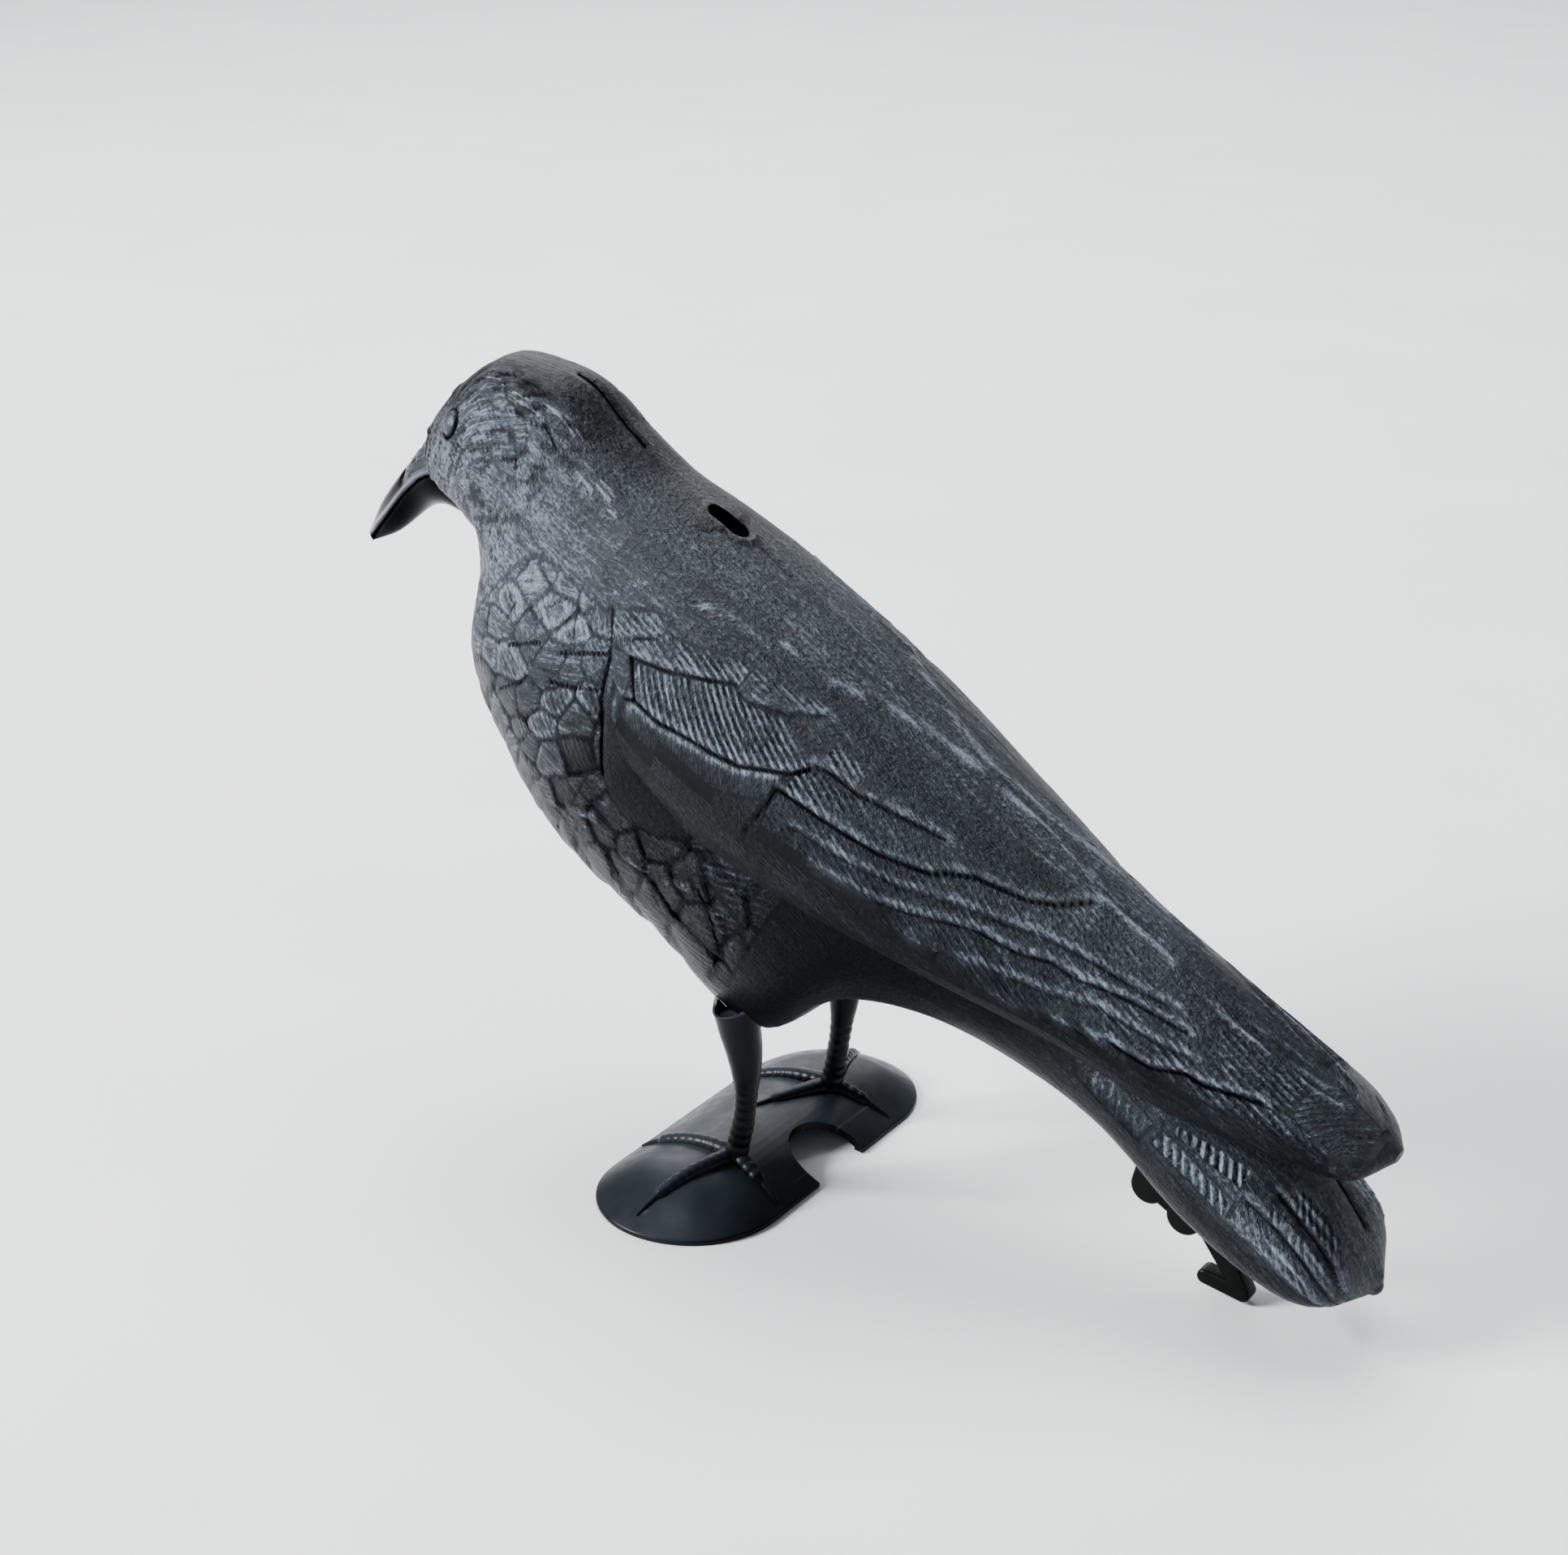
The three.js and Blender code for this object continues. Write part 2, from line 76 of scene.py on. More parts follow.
WING = [
    [40, 206.5, 46, 190, 24, 0.4, 2, 2],
    [26, 206, 34, 150, 41, 0.35, 2, 2],
    [0, 193.5, 17, 124, 51.5, 0.34, 2, 2.2],
    [-45, 165.5, -28, 106, 52.3, 0.3, 2, 2.6],
    [-85, 138.5, -70, 92, 44.5, 0.28, 1.85, 2.8],
    [-124, 115, -112, 76, 33, 0.28, 1.62, 2.8],
    [-156, 96, -148, 63, 29, 0.3, 1.65, 2.8],
    [-188, 74.5, -185, 56, 23.4, 0.4, 1.85, 2.6],
    [-199, 66.5, -198, 54, 16, 0.4, 2, 2.4],
    [-205.5, 61, -205, 58, 3, 0.5, 2, 2],
]
BEAK = [
    [149.5, 175.5, 148, 173, 0.4, 0.5, 2, 2],
    [140.5, 189.5, 137, 177.8, 5.2, 0.45, 1.9, 2],
    [125.5, 205.5, 123, 188, 9.3, 0.45, 2, 2],
    [112, 217, 112, 190.5, 13.3, 0.45, 2, 2],
    [101, 221, 101, 187.5, 14, 0.45, 2, 2],
]
# The slot in mm. The eye and the bill's corner: share of the trunk's length and degrees from the top
# line, the eye's radius and how far it is sunk in mm, how flat it is, its polish and its paleness. The
# nub at the tail's end in mm
SLOT = dict(forward=10.8, top=198.0, length=13.0, width=7.0, depth=18.0)
EYE = dict(s=0.066, turn=62.0, radius=4.2, sunk=0.6, flat=0.62, polish=0.35, pale=0.3)
BILL_CORNER = dict(s=0.036, turn=108)
TAIL_NUB = dict(place=(0, 201.1, 18.3), radius=3.0)

# Squares of the seeded lattices of the noise and of the blocks, both a power of 2
NOISE_LATTICE = 256
BLOCK_LATTICE = 64
# Steps to both sides for a normal: share of the length, degrees
STEP_ALONG = 0.002
STEP_ROUND = 0.4
# Farther, in mm, than any line is looked for, and longer than any form
FAR = 99.0
LONGEST = 420.0
# How far, in mm, a place without a groove is said to be from one, and where a groove's painted shade has
# faded
NO_GROOVE = 9
FADED = 1.1
# Depths of the carving in mm: the skin's mean level, the barbs, the lines cut along edges and grooves
SKIN_LEVEL = -0.25
BARB_DEPTH = 0.55
EDGE_CUT = 0.45
GROOVE_CUT = 0.65
# Height in mm of the faint barbs all over the skin, and the w from which barbs are counted
BARE = 0.05
BARB_ZERO = 50


def ease(a, b, x):
    """Smooth rise from 0 to 1 as x goes from a to b: 3k^2 - 2k^3."""
    k = np.clip((np.asarray(x, float) - a) / (b - a), 0, 1)
    return k * k * (3 - 2 * k)


def hump(x, width):
    """A bell of height 1 at x = 0: exp(-(x / width)^2)."""
    return np.exp(-(x / width) ** 2)


def mix(old, new, share):
    """Goes from old to new as share rises from 0 to 1: old * (1 - share) + new * share."""
    return old * (1 - share) + new * share


def noise(x, y, seed):
    """Smooth noise from -1 to 1: seeded random values on a square lattice, eased between its corners.
    Divided by mm, x and y give spots of that length and width."""
    values = np.random.default_rng(seed).uniform(-1, 1, (NOISE_LATTICE, NOISE_LATTICE))
    xi, yi = np.floor(x).astype(int), np.floor(y).astype(int)
    kx, ky = ease(0, 1, x - xi), ease(0, 1, y - yi)
    x0, x1, y0, y1 = (corner & (NOISE_LATTICE - 1) for corner in (xi, xi + 1, yi, yi + 1))
    return mix(mix(values[x0, y0], values[x1, y0], kx), mix(values[x0, y1], values[x1, y1], kx), ky)


class Form:
    """A loft of superellipse sections through stations, eased between them by cubic Hermite curves.
    s runs from 0 to 1 along the middle line, turn in degrees goes round the section from the top."""

    def __init__(self, stations):
        self.table = np.array(stations, float)
        middle = (self.table[:, 0:2] + self.table[:, 2:4]) / 2
        steps = np.hypot(*np.diff(middle, axis=0).T)
        self.knots = np.concatenate([[0], np.cumsum(steps)])
        self.length = self.knots[-1]
        rows = np.arange(len(self.table))
        before, after = np.maximum(rows - 1, 0), np.minimum(rows + 1, len(rows) - 1)
        run = (self.knots[after] - self.knots[before])[:, None]
        self.slopes = (self.table[after] - self.table[before]) / run

    def station(self, s):
        """The eight station values at s, by the cubic Hermite rule on each span."""
        x = np.clip(s, 0, 1) * self.length
        i = np.clip(np.searchsorted(self.knots, x, "right") - 1, 0, len(self.knots) - 2)
        span = (self.knots[i + 1] - self.knots[i])[..., None]
        k = (x - self.knots[i])[..., None] / span
        return (self.table[i] * (1 + 2 * k) * (1 - k) ** 2 + self.table[i + 1] * k * k * (3 - 2 * k)
                + self.slopes[i] * span * k * (1 - k) ** 2 + self.slopes[i + 1] * span * k * k * (k - 1))

    def point(self, s, turn):
        """The skin at s and turn: middle + (end - middle) * |cos|^(2/p) up and half * |sin|^(2/p) to the
        side, with p the squareness."""
        s, turn = np.broadcast_arrays(np.asarray(s, float), np.asarray(turn, float))
        v = self.station(s)
        c, n = np.cos(np.radians(turn)), np.sin(np.radians(turn))
        above = c >= 0
        power = 2 / np.where(above, v[..., 6], v[..., 7])
        rise = np.abs(c) ** power
        side = np.sign(n) * np.abs(n) ** power * np.maximum(v[..., 4], 0.01)
        mid = v[..., 2:4] + (v[..., 0:2] - v[..., 2:4]) * v[..., 5:6]
        end = np.where(above[..., None], v[..., 0:2], v[..., 2:4])
        fz = mid + (end - mid) * rise[..., None]
        return np.stack([side, -fz[..., 0], fz[..., 1]], -1)

    def normal(self, s, turn):
        """The outward normal, from the cross product of differences round and along the skin."""
        before, after = np.maximum(s - STEP_ALONG, 0), np.minimum(s + STEP_ALONG, 1)
        along = self.point(after, turn) - self.point(before, turn)
        around = self.point(s, turn + STEP_ROUND) - self.point(s, turn - STEP_ROUND)
        n = np.cross(around, along)
        return n / np.maximum(np.linalg.norm(n, axis=-1, keepdims=True), 1e-9)

    def outside(self, points, samples=150):
        """How far points lie outside the form, in mm, negative inside: the section through each point is
        found by the sides of the section planes, then distance = |p - middle| * (1 - 1 / rho)."""
        flat = points.reshape(-1, 3)
        p = np.stack([-flat[:, 1], flat[:, 2]], -1)
        s = np.linspace(0, 1, samples)
        v = self.station(s)
        up_line = v[:, 0:2] - v[:, 2:4]
        across = np.stack([up_line[:, 1], -up_line[:, 0]], -1)
        across /= np.linalg.norm(across, axis=1, keepdims=True)
        ahead = p[:, None] - v[None, :, 2:4]
        side = ahead[..., 0] * across[None, :, 0] + ahead[..., 1] * across[None, :, 1]
        hit = np.argmax(side >= 0, axis=1)
        hit = np.where(side[:, -1] < 0, samples - 1, np.maximum(hit, 1))
        rows = np.arange(len(p))
        a, b = side[rows, hit - 1], side[rows, hit]
        k = np.clip(-a / np.where(np.abs(b - a) < 1e-9, 1, b - a), 0, 1)
        w = self.station(s[hit - 1] + k / (samples - 1))
        up_line = w[:, 0:2] - w[:, 2:4]
        share = np.einsum("ij,ij->i", p - w[:, 2:4], up_line) / np.maximum((up_line ** 2).sum(1), 1e-6)
        level = w[:, 5]
        rise = np.where(share > level, (share - level) / (1 - level), (level - share) / level)
        power = np.where(share > level, w[:, 6], w[:, 7])
        wide = np.abs(flat[:, 0]) / np.maximum(w[:, 4], 0.5)
        rho = (wide ** power + np.abs(rise) ** power) ** (1 / power)
        mid = w[:, 2:4] + up_line * level[:, None]
        reach = np.sqrt(flat[:, 0] ** 2 + ((p - mid) ** 2).sum(1))
        return (reach * (1 - 1 / np.maximum(rho, 1e-3))).reshape(points.shape[:-1])


trunk, wings, beak = Form(TRUNK), Form(WING), Form(BEAK)


# Charts: every mark on the skin is placed by a, mm along a form's middle line, and w, mm round the
# section from the top line. In ease, hump and noise the numbers are mm on the chart, and the factors
# before them are mm of height or shares of the marks
def lookup(table, u, v):
    """A table read between its rows (u, 0 to 1) and its columns (v, 0 to 1), linearly both ways."""
    y, x = u * (table.shape[0] - 1), v * (table.shape[1] - 1)
    i = np.clip(np.floor(y).astype(int), 0, table.shape[0] - 2)
    j = np.clip(np.floor(x).astype(int), 0, table.shape[1] - 2)
    ky, kx = y - i, x - j
    return mix(mix(table[i, j], table[i, j + 1], kx), mix(table[i + 1, j], table[i + 1, j + 1], kx), ky)


def chart(form, along, shares, rows=240, columns=361):
    """A grid on a form, with rows at distances along it and columns at shares of the half section. The
    turn for a share of the section's length is read from summed steps. Returns s, turn, a and w."""
    s = np.linspace(0, 1, rows)
    turn = np.linspace(0, 180, columns)
    steps = np.linalg.norm(np.diff(form.point(s[:, None], turn[None, :]), axis=1), axis=-1)
    arc = np.concatenate([np.zeros((rows, 1)), np.cumsum(steps, 1)], 1)
    half = np.interp(along / form.length, s, arc[:, -1])
    turns = np.stack([np.interp(np.linspace(0, 1, columns), row / row[-1], turn) for row in arc])
    share = shares[None, :] + 0 * along[:, None]
    here = along[:, None] / form.length + 0 * share
    return here, lookup(turns, here, share), here * form.length, share * half[:, None]


def spread(*runs):
    """Distances from runs of (start, stop, step), each run up to the next one's start."""
    stretches = []
    for start, stop, step in runs:
        count = max(int(round((stop - start) / step)), 1)
        stretches.append(np.linspace(start, stop, count, endpoint=False))
    return np.concatenate([*stretches, [runs[-1][1]]])


def level(edge, a):
    """An edge's w at a: a number, or a line through (a, w) points."""
    return edge + 0 * a if np.isscalar(edge) else np.interp(a, *zip(*edge))


def near(a, w, points):
    """Distance in mm from each place of the chart to a line through (a, w) points."""
    best = np.full(a.shape, FAR)
    for (a0, w0), (a1, w1) in zip(points[:-1], points[1:]):
        da, dw = a1 - a0, w1 - w0
        k = np.clip(((a - a0) * da + (w - w0) * dw) / (da * da + dw * dw), 0, 1)
        best = np.minimum(best, np.hypot(a - a0 - k * da, w - w0 - k * dw))
    return best


def barbs(a, w, lean, pitch):
    """Straight barbs that lean off the form's length: turns counted across them, and mm along them. The
    lean in degrees is an array, or (a, degrees) points, which bend the barbs by summing sin(lean)."""
    if isinstance(lean, np.ndarray):
        angle, drift = np.radians(lean), a * np.sin(np.radians(lean))
    else:
        places = np.arange(LONGEST)
        drift = np.interp(a, places, np.cumsum(np.sin(np.radians(np.interp(places, *zip(*lean))))))
        angle = np.radians(np.interp(a, *zip(*lean)))
    turns = ((w - BARB_ZERO) * np.cos(angle) - drift) / pitch
    return np.stack([turns, a * np.cos(angle) + w * np.sin(angle)], -1)


def tiles(a, w, pitch, seed):
    """Irregular blocks: a seeded point jittered in each square of a lattice, each place going to the
    nearest. Returns mm to the block's border, two random values of the block and the way from its point."""
    rng = np.random.default_rng(seed)
    jitter = rng.uniform(0.12, 0.88, (BLOCK_LATTICE, BLOCK_LATTICE, 2))
    values = rng.uniform(-1, 1, (BLOCK_LATTICE, BLOCK_LATTICE, 2))
    x, y = a / pitch, w / pitch
    first = np.full(a.shape, FAR)
    second = first.copy()
    value = np.zeros((*a.shape, 2))
    away = np.zeros((*a.shape, 2))
    for di in (-1, 0, 1):
        for dj in (-1, 0, 1):
            i, j = np.floor(x).astype(int) + di, np.floor(y).astype(int) + dj
            square = i & (BLOCK_LATTICE - 1), j & (BLOCK_LATTICE - 1)
            dx, dy = x - i - jitter[square][..., 0], y - j - jitter[square][..., 1]
            distance = np.hypot(dx, dy)
            closer = distance < first
            second = np.where(closer, first, np.minimum(second, distance))
            first = np.where(closer, distance, first)
            value = np.where(closer[..., None], values[square], value)
            away = np.where(closer[..., None], np.stack([dx, dy], -1), away)
    return (second - first) / 2 * pitch, value, away * pitch


def painted_shade_reach(away, weight, worn):
    """What a groove's distance counts as for its painted shade: a weak groove is painted dark only where
    worn, a noise, is high.
    """
    return away + FADED * (1 - weight) + worn * (1.15 - weight)


def carve(a, w, side, patches, edges, ridges, grooves, sharp):
    """The carving of one side of a form. Patches of barbs are laid over each other in order, and each
    fades in from its upper edge, at its front and at its rear, along a ragged line. Below each feather
    edge the skin drops by a step that fades with distance. Ridges stand proud, grooves are cut. Returns
    the height in mm, and for the material the barbs (turns, mm), their height, the paleness of edges and
    ridges, painted highlight and partly wear, and the distance to the nearest groove for its painted shade."""
    sw = side * w
    height = SKIN_LEVEL + 0.1 * noise(a / 7, sw / 1.7, 3) + 0.05 * noise(a / 2.4, sw / 1.1, 4)
    lie = barbs(a, w, [(0, 2)], 1.8)
    tall = BARE + 0 * a
    ragged = 1.2 * noise(a / 4, sw / 3, 9)
    for start, stop, upper, lower, lean, pitch, rib, (top, front, rear) in patches:
        deep = w - level(upper, a)
        inside = np.minimum(level(lower, a) - w, deep) + 0.2 * ragged
        mask = ease(-0.4, 0.8, inside) * ease(-0.5, top, deep + ragged)
        mask = mask * ease(0, front, a - start + ragged) * ease(0, rear, stop - a + ragged)
        lie = np.where(((inside > 0) & (a > start) & (a < stop))[..., None], barbs(a, w, lean, pitch), lie)
        tall = mix(tall, rib, mask)
    tall = tall * (1 + 0.5 * noise(a / 13, sw / 7, 8) + 0.45 * noise(a / 3.5, sw / 2.5, 10))
    height = height + BARB_DEPTH * ease(0.2, 0.3, tall) * tall * (np.sin(2 * np.pi * lie[..., 0]) - 1)
    pale, reach = 0 * a, NO_GROOVE + 0 * a
    worn = 0.3 + 0.35 * noise(a / 5, sw / 5, 12)
    for step, fade, weight, points in edges:
        below, away = w - level(points, a), near(a, w, points)
        (first, _), (last, _) = points[0], points[-1]
        ends = ease(first - 2, first + 2, a) * ease(last + 2, last - 2, a)
        drop = step * ends * ease(-sharp / 2, sharp / 2, below) * np.exp(-np.maximum(below, 0) / fade)
        height = height - drop - EDGE_CUT * weight * hump(away, sharp)
        # Painted highlight just above each edge, where the row bulges out to the light, and painted shade
        # along it through reach
        pale = pale + 0.5 * step * hump(away - 1.6, 0.9) * (below < 0)
        reach = np.minimum(reach, painted_shade_reach(away, weight, worn))
    for rise, half, points in ridges:
        shape = hump(near(a, w, points), half)
        # Ridges are paler: wear, and painted highlight on their crests
        rubbed = 0.7 + 1.2 * noise(a / 9, sw / 2, 31)
        height, pale = height + rise * shape, pale + rubbed * rise * shape
    for weight, points in grooves:
        away = near(a, w, points)
        height = height - GROOVE_CUT * weight * hump(away, sharp)
        # Painted shade in the groove, placed through reach
        reach = np.minimum(reach, painted_shade_reach(away, weight, worn))
    return height, lie, tall, pale, reach


# Wing: its feathers' edges, the front and floor of its two panels (B hatched, C smooth) and its front line,
# all as (a, w) points
COVERT_EDGE = [(35, 54.5), (49.5, 46)]
ABOVE_B = [(44.3, 55), (55.7, 51.8), (67.5, 46.2), (76, 40.8)]
ABOVE_B_REAR = [(81.5, 42.4), (93, 37), (101.5, 28.7)]
B_UPPER = [(44.3, 55), (55.7, 51.8), (67.5, 46.2), (76, 41.5), (81.5, 43), (93, 38), (104, 41.5),
           (107, 42.5)]
BELOW_B = [(38, 70), (51, 64.5), (60.5, 64.8), (72.3, 62), (79.5, 60.7), (88.5, 58), (98.5, 51.7),
           (102.5, 49), (107.3, 42.5)]
B_FRONT = [(44.3, 55), (51, 64.5)]
C_REAR = [(101, 56), (100.2, 63), (97.5, 72.7)]
C_FLOOR = [(60, 95), (70, 88), (80, 83), (90, 81), (97.5, 73)]
WING_FRONT = [(30, 46), (36.5, 59), (38, 70), (42.7, 76.3), (47.1, 83.7), (50, 87)]
E1 = [(107, 42.5), (110.5, 40.8), (120.5, 39.2), (133, 34.5), (146, 29.5)]
E2 = [(101, 55), (115.5, 52), (125, 49.5), (134.5, 46.5), (148.5, 39.5), (151, 36.5), (158.3, 31),
      (172.5, 25), (180, 19.3), (187, 10.5)]
E3 = [(110, 60), (125, 56), (143, 49), (152, 44), (162, 38.7), (172.5, 34), (181, 29.5), (188.5, 27),
      (197, 24.5), (208, 22.5), (222, 19)]
E4 = [(120, 64), (140, 57), (150, 51.5), (158, 46.5), (166.5, 41.5), (179, 37.5), (187, 32.8), (194.5, 31.5),
      (204.5, 27.5), (213, 25), (228, 22)]
E5 = [(150, 60), (170, 49), (183, 43), (191.5, 39.5), (203, 33.5), (213, 31.5), (222, 30), (234, 26.5)]
E6 = [(170, 58), (190, 48), (203, 42), (211.5, 38.5), (224, 36.5), (233, 31), (239, 30), (247.5, 26),
      (255, 22.5)]
E7 = [(105, 66), (120, 64), (131, 62), (152, 57), (170, 52), (185, 47), (200, 44), (215, 41), (230, 37),
      (250, 31), (270, 24)]
D_UPPER = [(101, 55), (107, 43), (120.5, 39.5), (133, 35), (146, 31), (158.3, 29), (172.5, 24), (180, 18),
           (190, 11), (222, 8), (262, 4)]
# How barbs lean: (a, degrees), along the long feathers and over the hatched panel
LONG = [(100, 17), (150, 16.5), (205, 12), (250, 8)]
BOLD = [(44, 56), (48, 55), (70, 39), (88, 24.4), (97, 20), (107, 18)]

# Patches of barbs: from and to along the wing, upper and lower edge, lean, pitch and height of the barbs
# in mm, and over how many mm they fade in from the upper edge, at the front and at the rear
WING_PATCHES = [
    (101, 278, D_UPPER, E7, LONG, 2.2, 0.15, (6, 4, 10)),
    (103, 128, E1, E2, LONG, 2.2, 0.5, (3, 1, 12)),
    (105, 215, E2, E3, LONG, 2.0, 0.34, (8, 6, 40)),
    (112, 225, E3, E4, LONG, 2.0, 0.34, (5, 12, 40)),
    (122, 240, E4, E5, LONG, 2.0, 0.29, (4, 12, 30)),
    (140, 200, E5, E6, LONG, 2.0, 0.2, (4, 20, 12)),
    (195, 245, E5, E6, LONG, 2.2, 0.32, (3, 20, 20)),
    (220, 283, [(220, 14), (250, 8), (283, 3)], E7, [(220, 12), (283, -4)], 2.2, 0.34, (5, 25, 6)),
    (232, 278, [(232, 31.5), (250, 25), (278, 14)], E7, LONG, 2.4, 0.4, (1, 14, 5)),
    (107, 121, 32, 40, [(0, 18)], 2.2, 0.4, (3, 2, 4)),
    (50, 66, 24, 33, [(0, -40)], 2.6, 0.24, (4, 4, 6)),
    (80, 102, [(80, 34), (93, 29), (102, 23)], ABOVE_B_REAR, [(0, 3)], 1.9, 0.36, (2, 2, 4)),
    (70, 85, 28, 37, [(0, 3)], 1.9, 0.34, (3, 4, 4)),
    (36, 77, [(36, 45), (44, 44), (56, 42), (68, 37), (77, 32)], ABOVE_B, [(0, 15)], 2.0, 0.45, (3, 5, 2)),
    (31, 50, [(31, 46), (50, 38)], COVERT_EDGE, [(0, 11)], 2.0, 0.42, (3, 2, 4)),
    (47, 107, B_UPPER, BELOW_B, BOLD, 2.1, 0.55, (1, 1, 1)),
    (262, 284, 1, 20, [(0, -54)], 1.7, 0.16, (4, 8, 4)),
]
# Feather edges: drop below the edge in mm, distance in mm over which it fades, weight of the groove
WING_EDGES = [
    (0.3, 4, 0.7, COVERT_EDGE), (0.6, 7, 0.75, ABOVE_B), (0.6, 6, 0.7, ABOVE_B_REAR), (0.7, 9, 0.9, BELOW_B),
    (0.7, 6, 0.8, E1), (0.9, 6, 0.85, E2), (0.8, 5, 0.6, E3), (0.9, 5, 0.75, E4), (0.8, 4, 0.55, E5),
    (0.9, 5, 0.85, E6), (0.3, 5, 0.2, [(62, 27.6), (73.5, 26), (80, 28)]),
]
# Ridges: rise and half width in mm, and the last of them round the wing's end
WING_RIDGES = [
    (0.6, 1.9, [(80.5, 20.5), (88, 19.5), (97, 20)]),
    (0.5, 1.6, [(97, 20), (108, 13), (116, 10), (125, 6), (134, 4), (143, 2), (150, 3), (160, 3), (170, 4),
                (180, 7), (190, 8), (205, 8.5), (215, 8)]),
    (0.35, 1.2, [(54.8, 30), (62, 27.6), (73.5, 26)]),
    (0.3, 0.8, [(158, 12.5), (170, 12), (176, 9.5), (177, 8), (174, 4.5), (160, 3.5)]),
    (0.6, 0.9, [(240, 7.5), (255, 7), (264, 5), (268, 3), (269.5, 0)]),
    (0.5, 0.8, [(232, 11), (250, 10), (262, 9), (271, 6), (275, 1)]),
    (0.3, 0.8, [(236, 4.5), (252, 3.5), (260, 2), (262, 0)]), (0.3, 0.8, [(222, 13), (236, 8), (247, 5)]),
    (0.35, 1.0, C_FLOOR),
]
# Grooves: weight, from 0 for a trace to 1 for a full line
WING_GROOVES = [
    (1.0, WING_FRONT), (1.0, B_FRONT), (0.8, C_REAR), (0.5, [(95.5, 11), (104, 8), (113, 3)]),
    (0.5, [(76, 41), (74, 36), (66, 34)]), (0.45, [(85, 38), (86, 31), (80, 27)]),
    (0.6, [(284, 0), (283, 4), (281, 8), (276, 12)]), (0.4, [(178, 9.5), (179, 8), (178, 5)]),
    (0.5, [(262, 7), (269, 5), (271.5, 0)]),
]

# Trunk: the same, on the head, breast, belly and tail. The smooth skin ahead of and below the wing ends at
# PLAIN_C, and EAR is the curl behind the cheek
PLAIN_C = [(105, 45), (112, 52), (116, 60), (119.5, 67), (125, 73), (131, 81), (134, 85), (140, 90),
           (150, 91), (158, 88), (165, 82), (172, 70)]
EAR = [(42, 23), (46, 24), (49, 27), (51, 31), (50, 36)]
TRUNK_PATCHES = [
    (24, 51, 14, [(24, 30), (36, 44), (50, 36)], [(0, -31.6)], 1.8, 0.24, (6, 6, 2)),
    (292, 318, 31, 40, [(0, 52.8)], 2.6, 0.34, (2, 6, 3)),
    (320, 349, [(320, 30), (348, 29)], [(320, 36), (348, 35)], [(0, 52.8)], 3.03, 0.95, (1, 1, 1)),
    (322, 348, [(322, 25.9), (347, 18.7)], [(322, 28.9), (347, 25.3)], [(0, 52.8)], 3.03, 0.95, (1, 1, 1)),
    (350, 384, 26, 34, [(0, 46)], 2.6, 0.34, (4, 3, 6)),
    (356, 384, 19, 25, [(0, 50)], 2.4, 0.42, (3, 4, 6)),
    (360, 382, 8, 17, [(0, 50)], 2.2, 0.5, (4, 3, 6)),
    (366, 384, 2, 8, [(0, 20)], 2.4, 0.25, (2, 3, 5)),
]
TRUNK_EDGES = [
    (0.8, 5, 0.7, [(352, 26), (366, 25), (386, 25.5)]), (0.8, 5, 0.8, [(358, 17), (370, 17.5), (386, 18)]),
    (0.5, 4, 0.5, [(350, 36), (370, 35), (384, 33)]),
]
BROW = [(30, 15), (38, 16), (41.5, 17.5), (47, 19.5), (52, 17.5), (55, 16)]
BROW_REAR = [(57, 17), (65, 18.5), (71, 22), (80, 23.5), (84, 24)]
TRUNK_RIDGES = [
    (0.12, 1.7, BROW), (0.1, 1.6, BROW_REAR), (0.3, 0.9, [(46, 3.2), (74, 3.2)]),
    (0.8, 1.2, [(130, 105), (140.5, 100)]), (0.8, 1.2, [(152, 104), (160.5, 100)]),
    (0.8, 1.1, [(166, 99), (174, 92)]), (0.6, 1.0, [(176, 76), (188, 70)]),
    (0.5, 0.7, [(357, 29.5), (382, 29.5)]), (0.5, 0.7, [(364, 21.5), (381, 21.5)]),
    (0.4, 0.8, [(362, 12), (380, 12)]),
]
TRUNK_GROOVES = [
    (0.9, [(48, 0), (73, 0)]), (0.8, [(51, 22), (59, 24.5)]), (0.5, [(62, 22), (68, 25)]), (0.7, EAR),
    (1.0, [(84, 77), (93, 68)]), (1.0, [(100.5, 66), (113.5, 56)]), (0.7, [(89, 63), (89, 57), (92, 51)]),
    (0.7, [(79, 71), (78, 62)]), (0.7, [(96, 53), (104, 63)]), (0.9, [(88, 93), (95, 82)]),
    (1.0, [(103, 75), (108, 73), (118.5, 66)]), (1.0, PLAIN_C[:7]), (0.6, [(48, 32), (53, 40)]),
    (0.6, [(60, 45), (66, 47)]), (0.5, [(33, 11), (40, 10)]), (0.5, [(26, 13), (31, 11.5)]),
    (0.5, [(71, 51), (76, 55)]), (0.5, [(70, 40), (74, 44)]), (0.8, [(176, 90), (184, 95), (190, 102)]),
    (0.7, [(150, 112), (160, 118)]), (0.7, [(163, 100), (168, 108)]),
]


# The right side has other blocks than the left: its w is moved on by this many mm
OTHER_BLOCKS = 300
# The darkest that the painted shade and toning make plumage, on the wings and on the trunk
WING_DARKEST = -0.3
TRUNK_DARKEST = -0.5


def slot_marks(points):
    """The raised rim round the slot and the short seam behind it, by distance from the slot's outline."""
    x, f = points[..., 0], -points[..., 1]
    straight = SLOT["length"] / 2 - SLOT["width"] / 2
    away = np.hypot(x, np.maximum(np.abs(f - SLOT["forward"]) - straight, 0)) - SLOT["width"] / 2
    back = ease(SLOT["forward"] + 4, SLOT["forward"] - 6, f)
    on_top = points[..., 2] > SLOT["top"] - SLOT["depth"]
    seam = hump(x, 0.7) * ease(-14, -11, f) * (1 - ease(-1, 1, f))
    return on_top * (hump(away - 1.1, 1.0) * (0.25 + 0.55 * back) - 0.6 * seam)


def smooth_join(gap, width):
    """What is added to each of two skins where they cross, so that they run into each other: with g the
    gap between them, (width - |g|)^2 / (4 width)."""
    return np.maximum(width - np.abs(gap), 0) ** 2 / (4 * width)


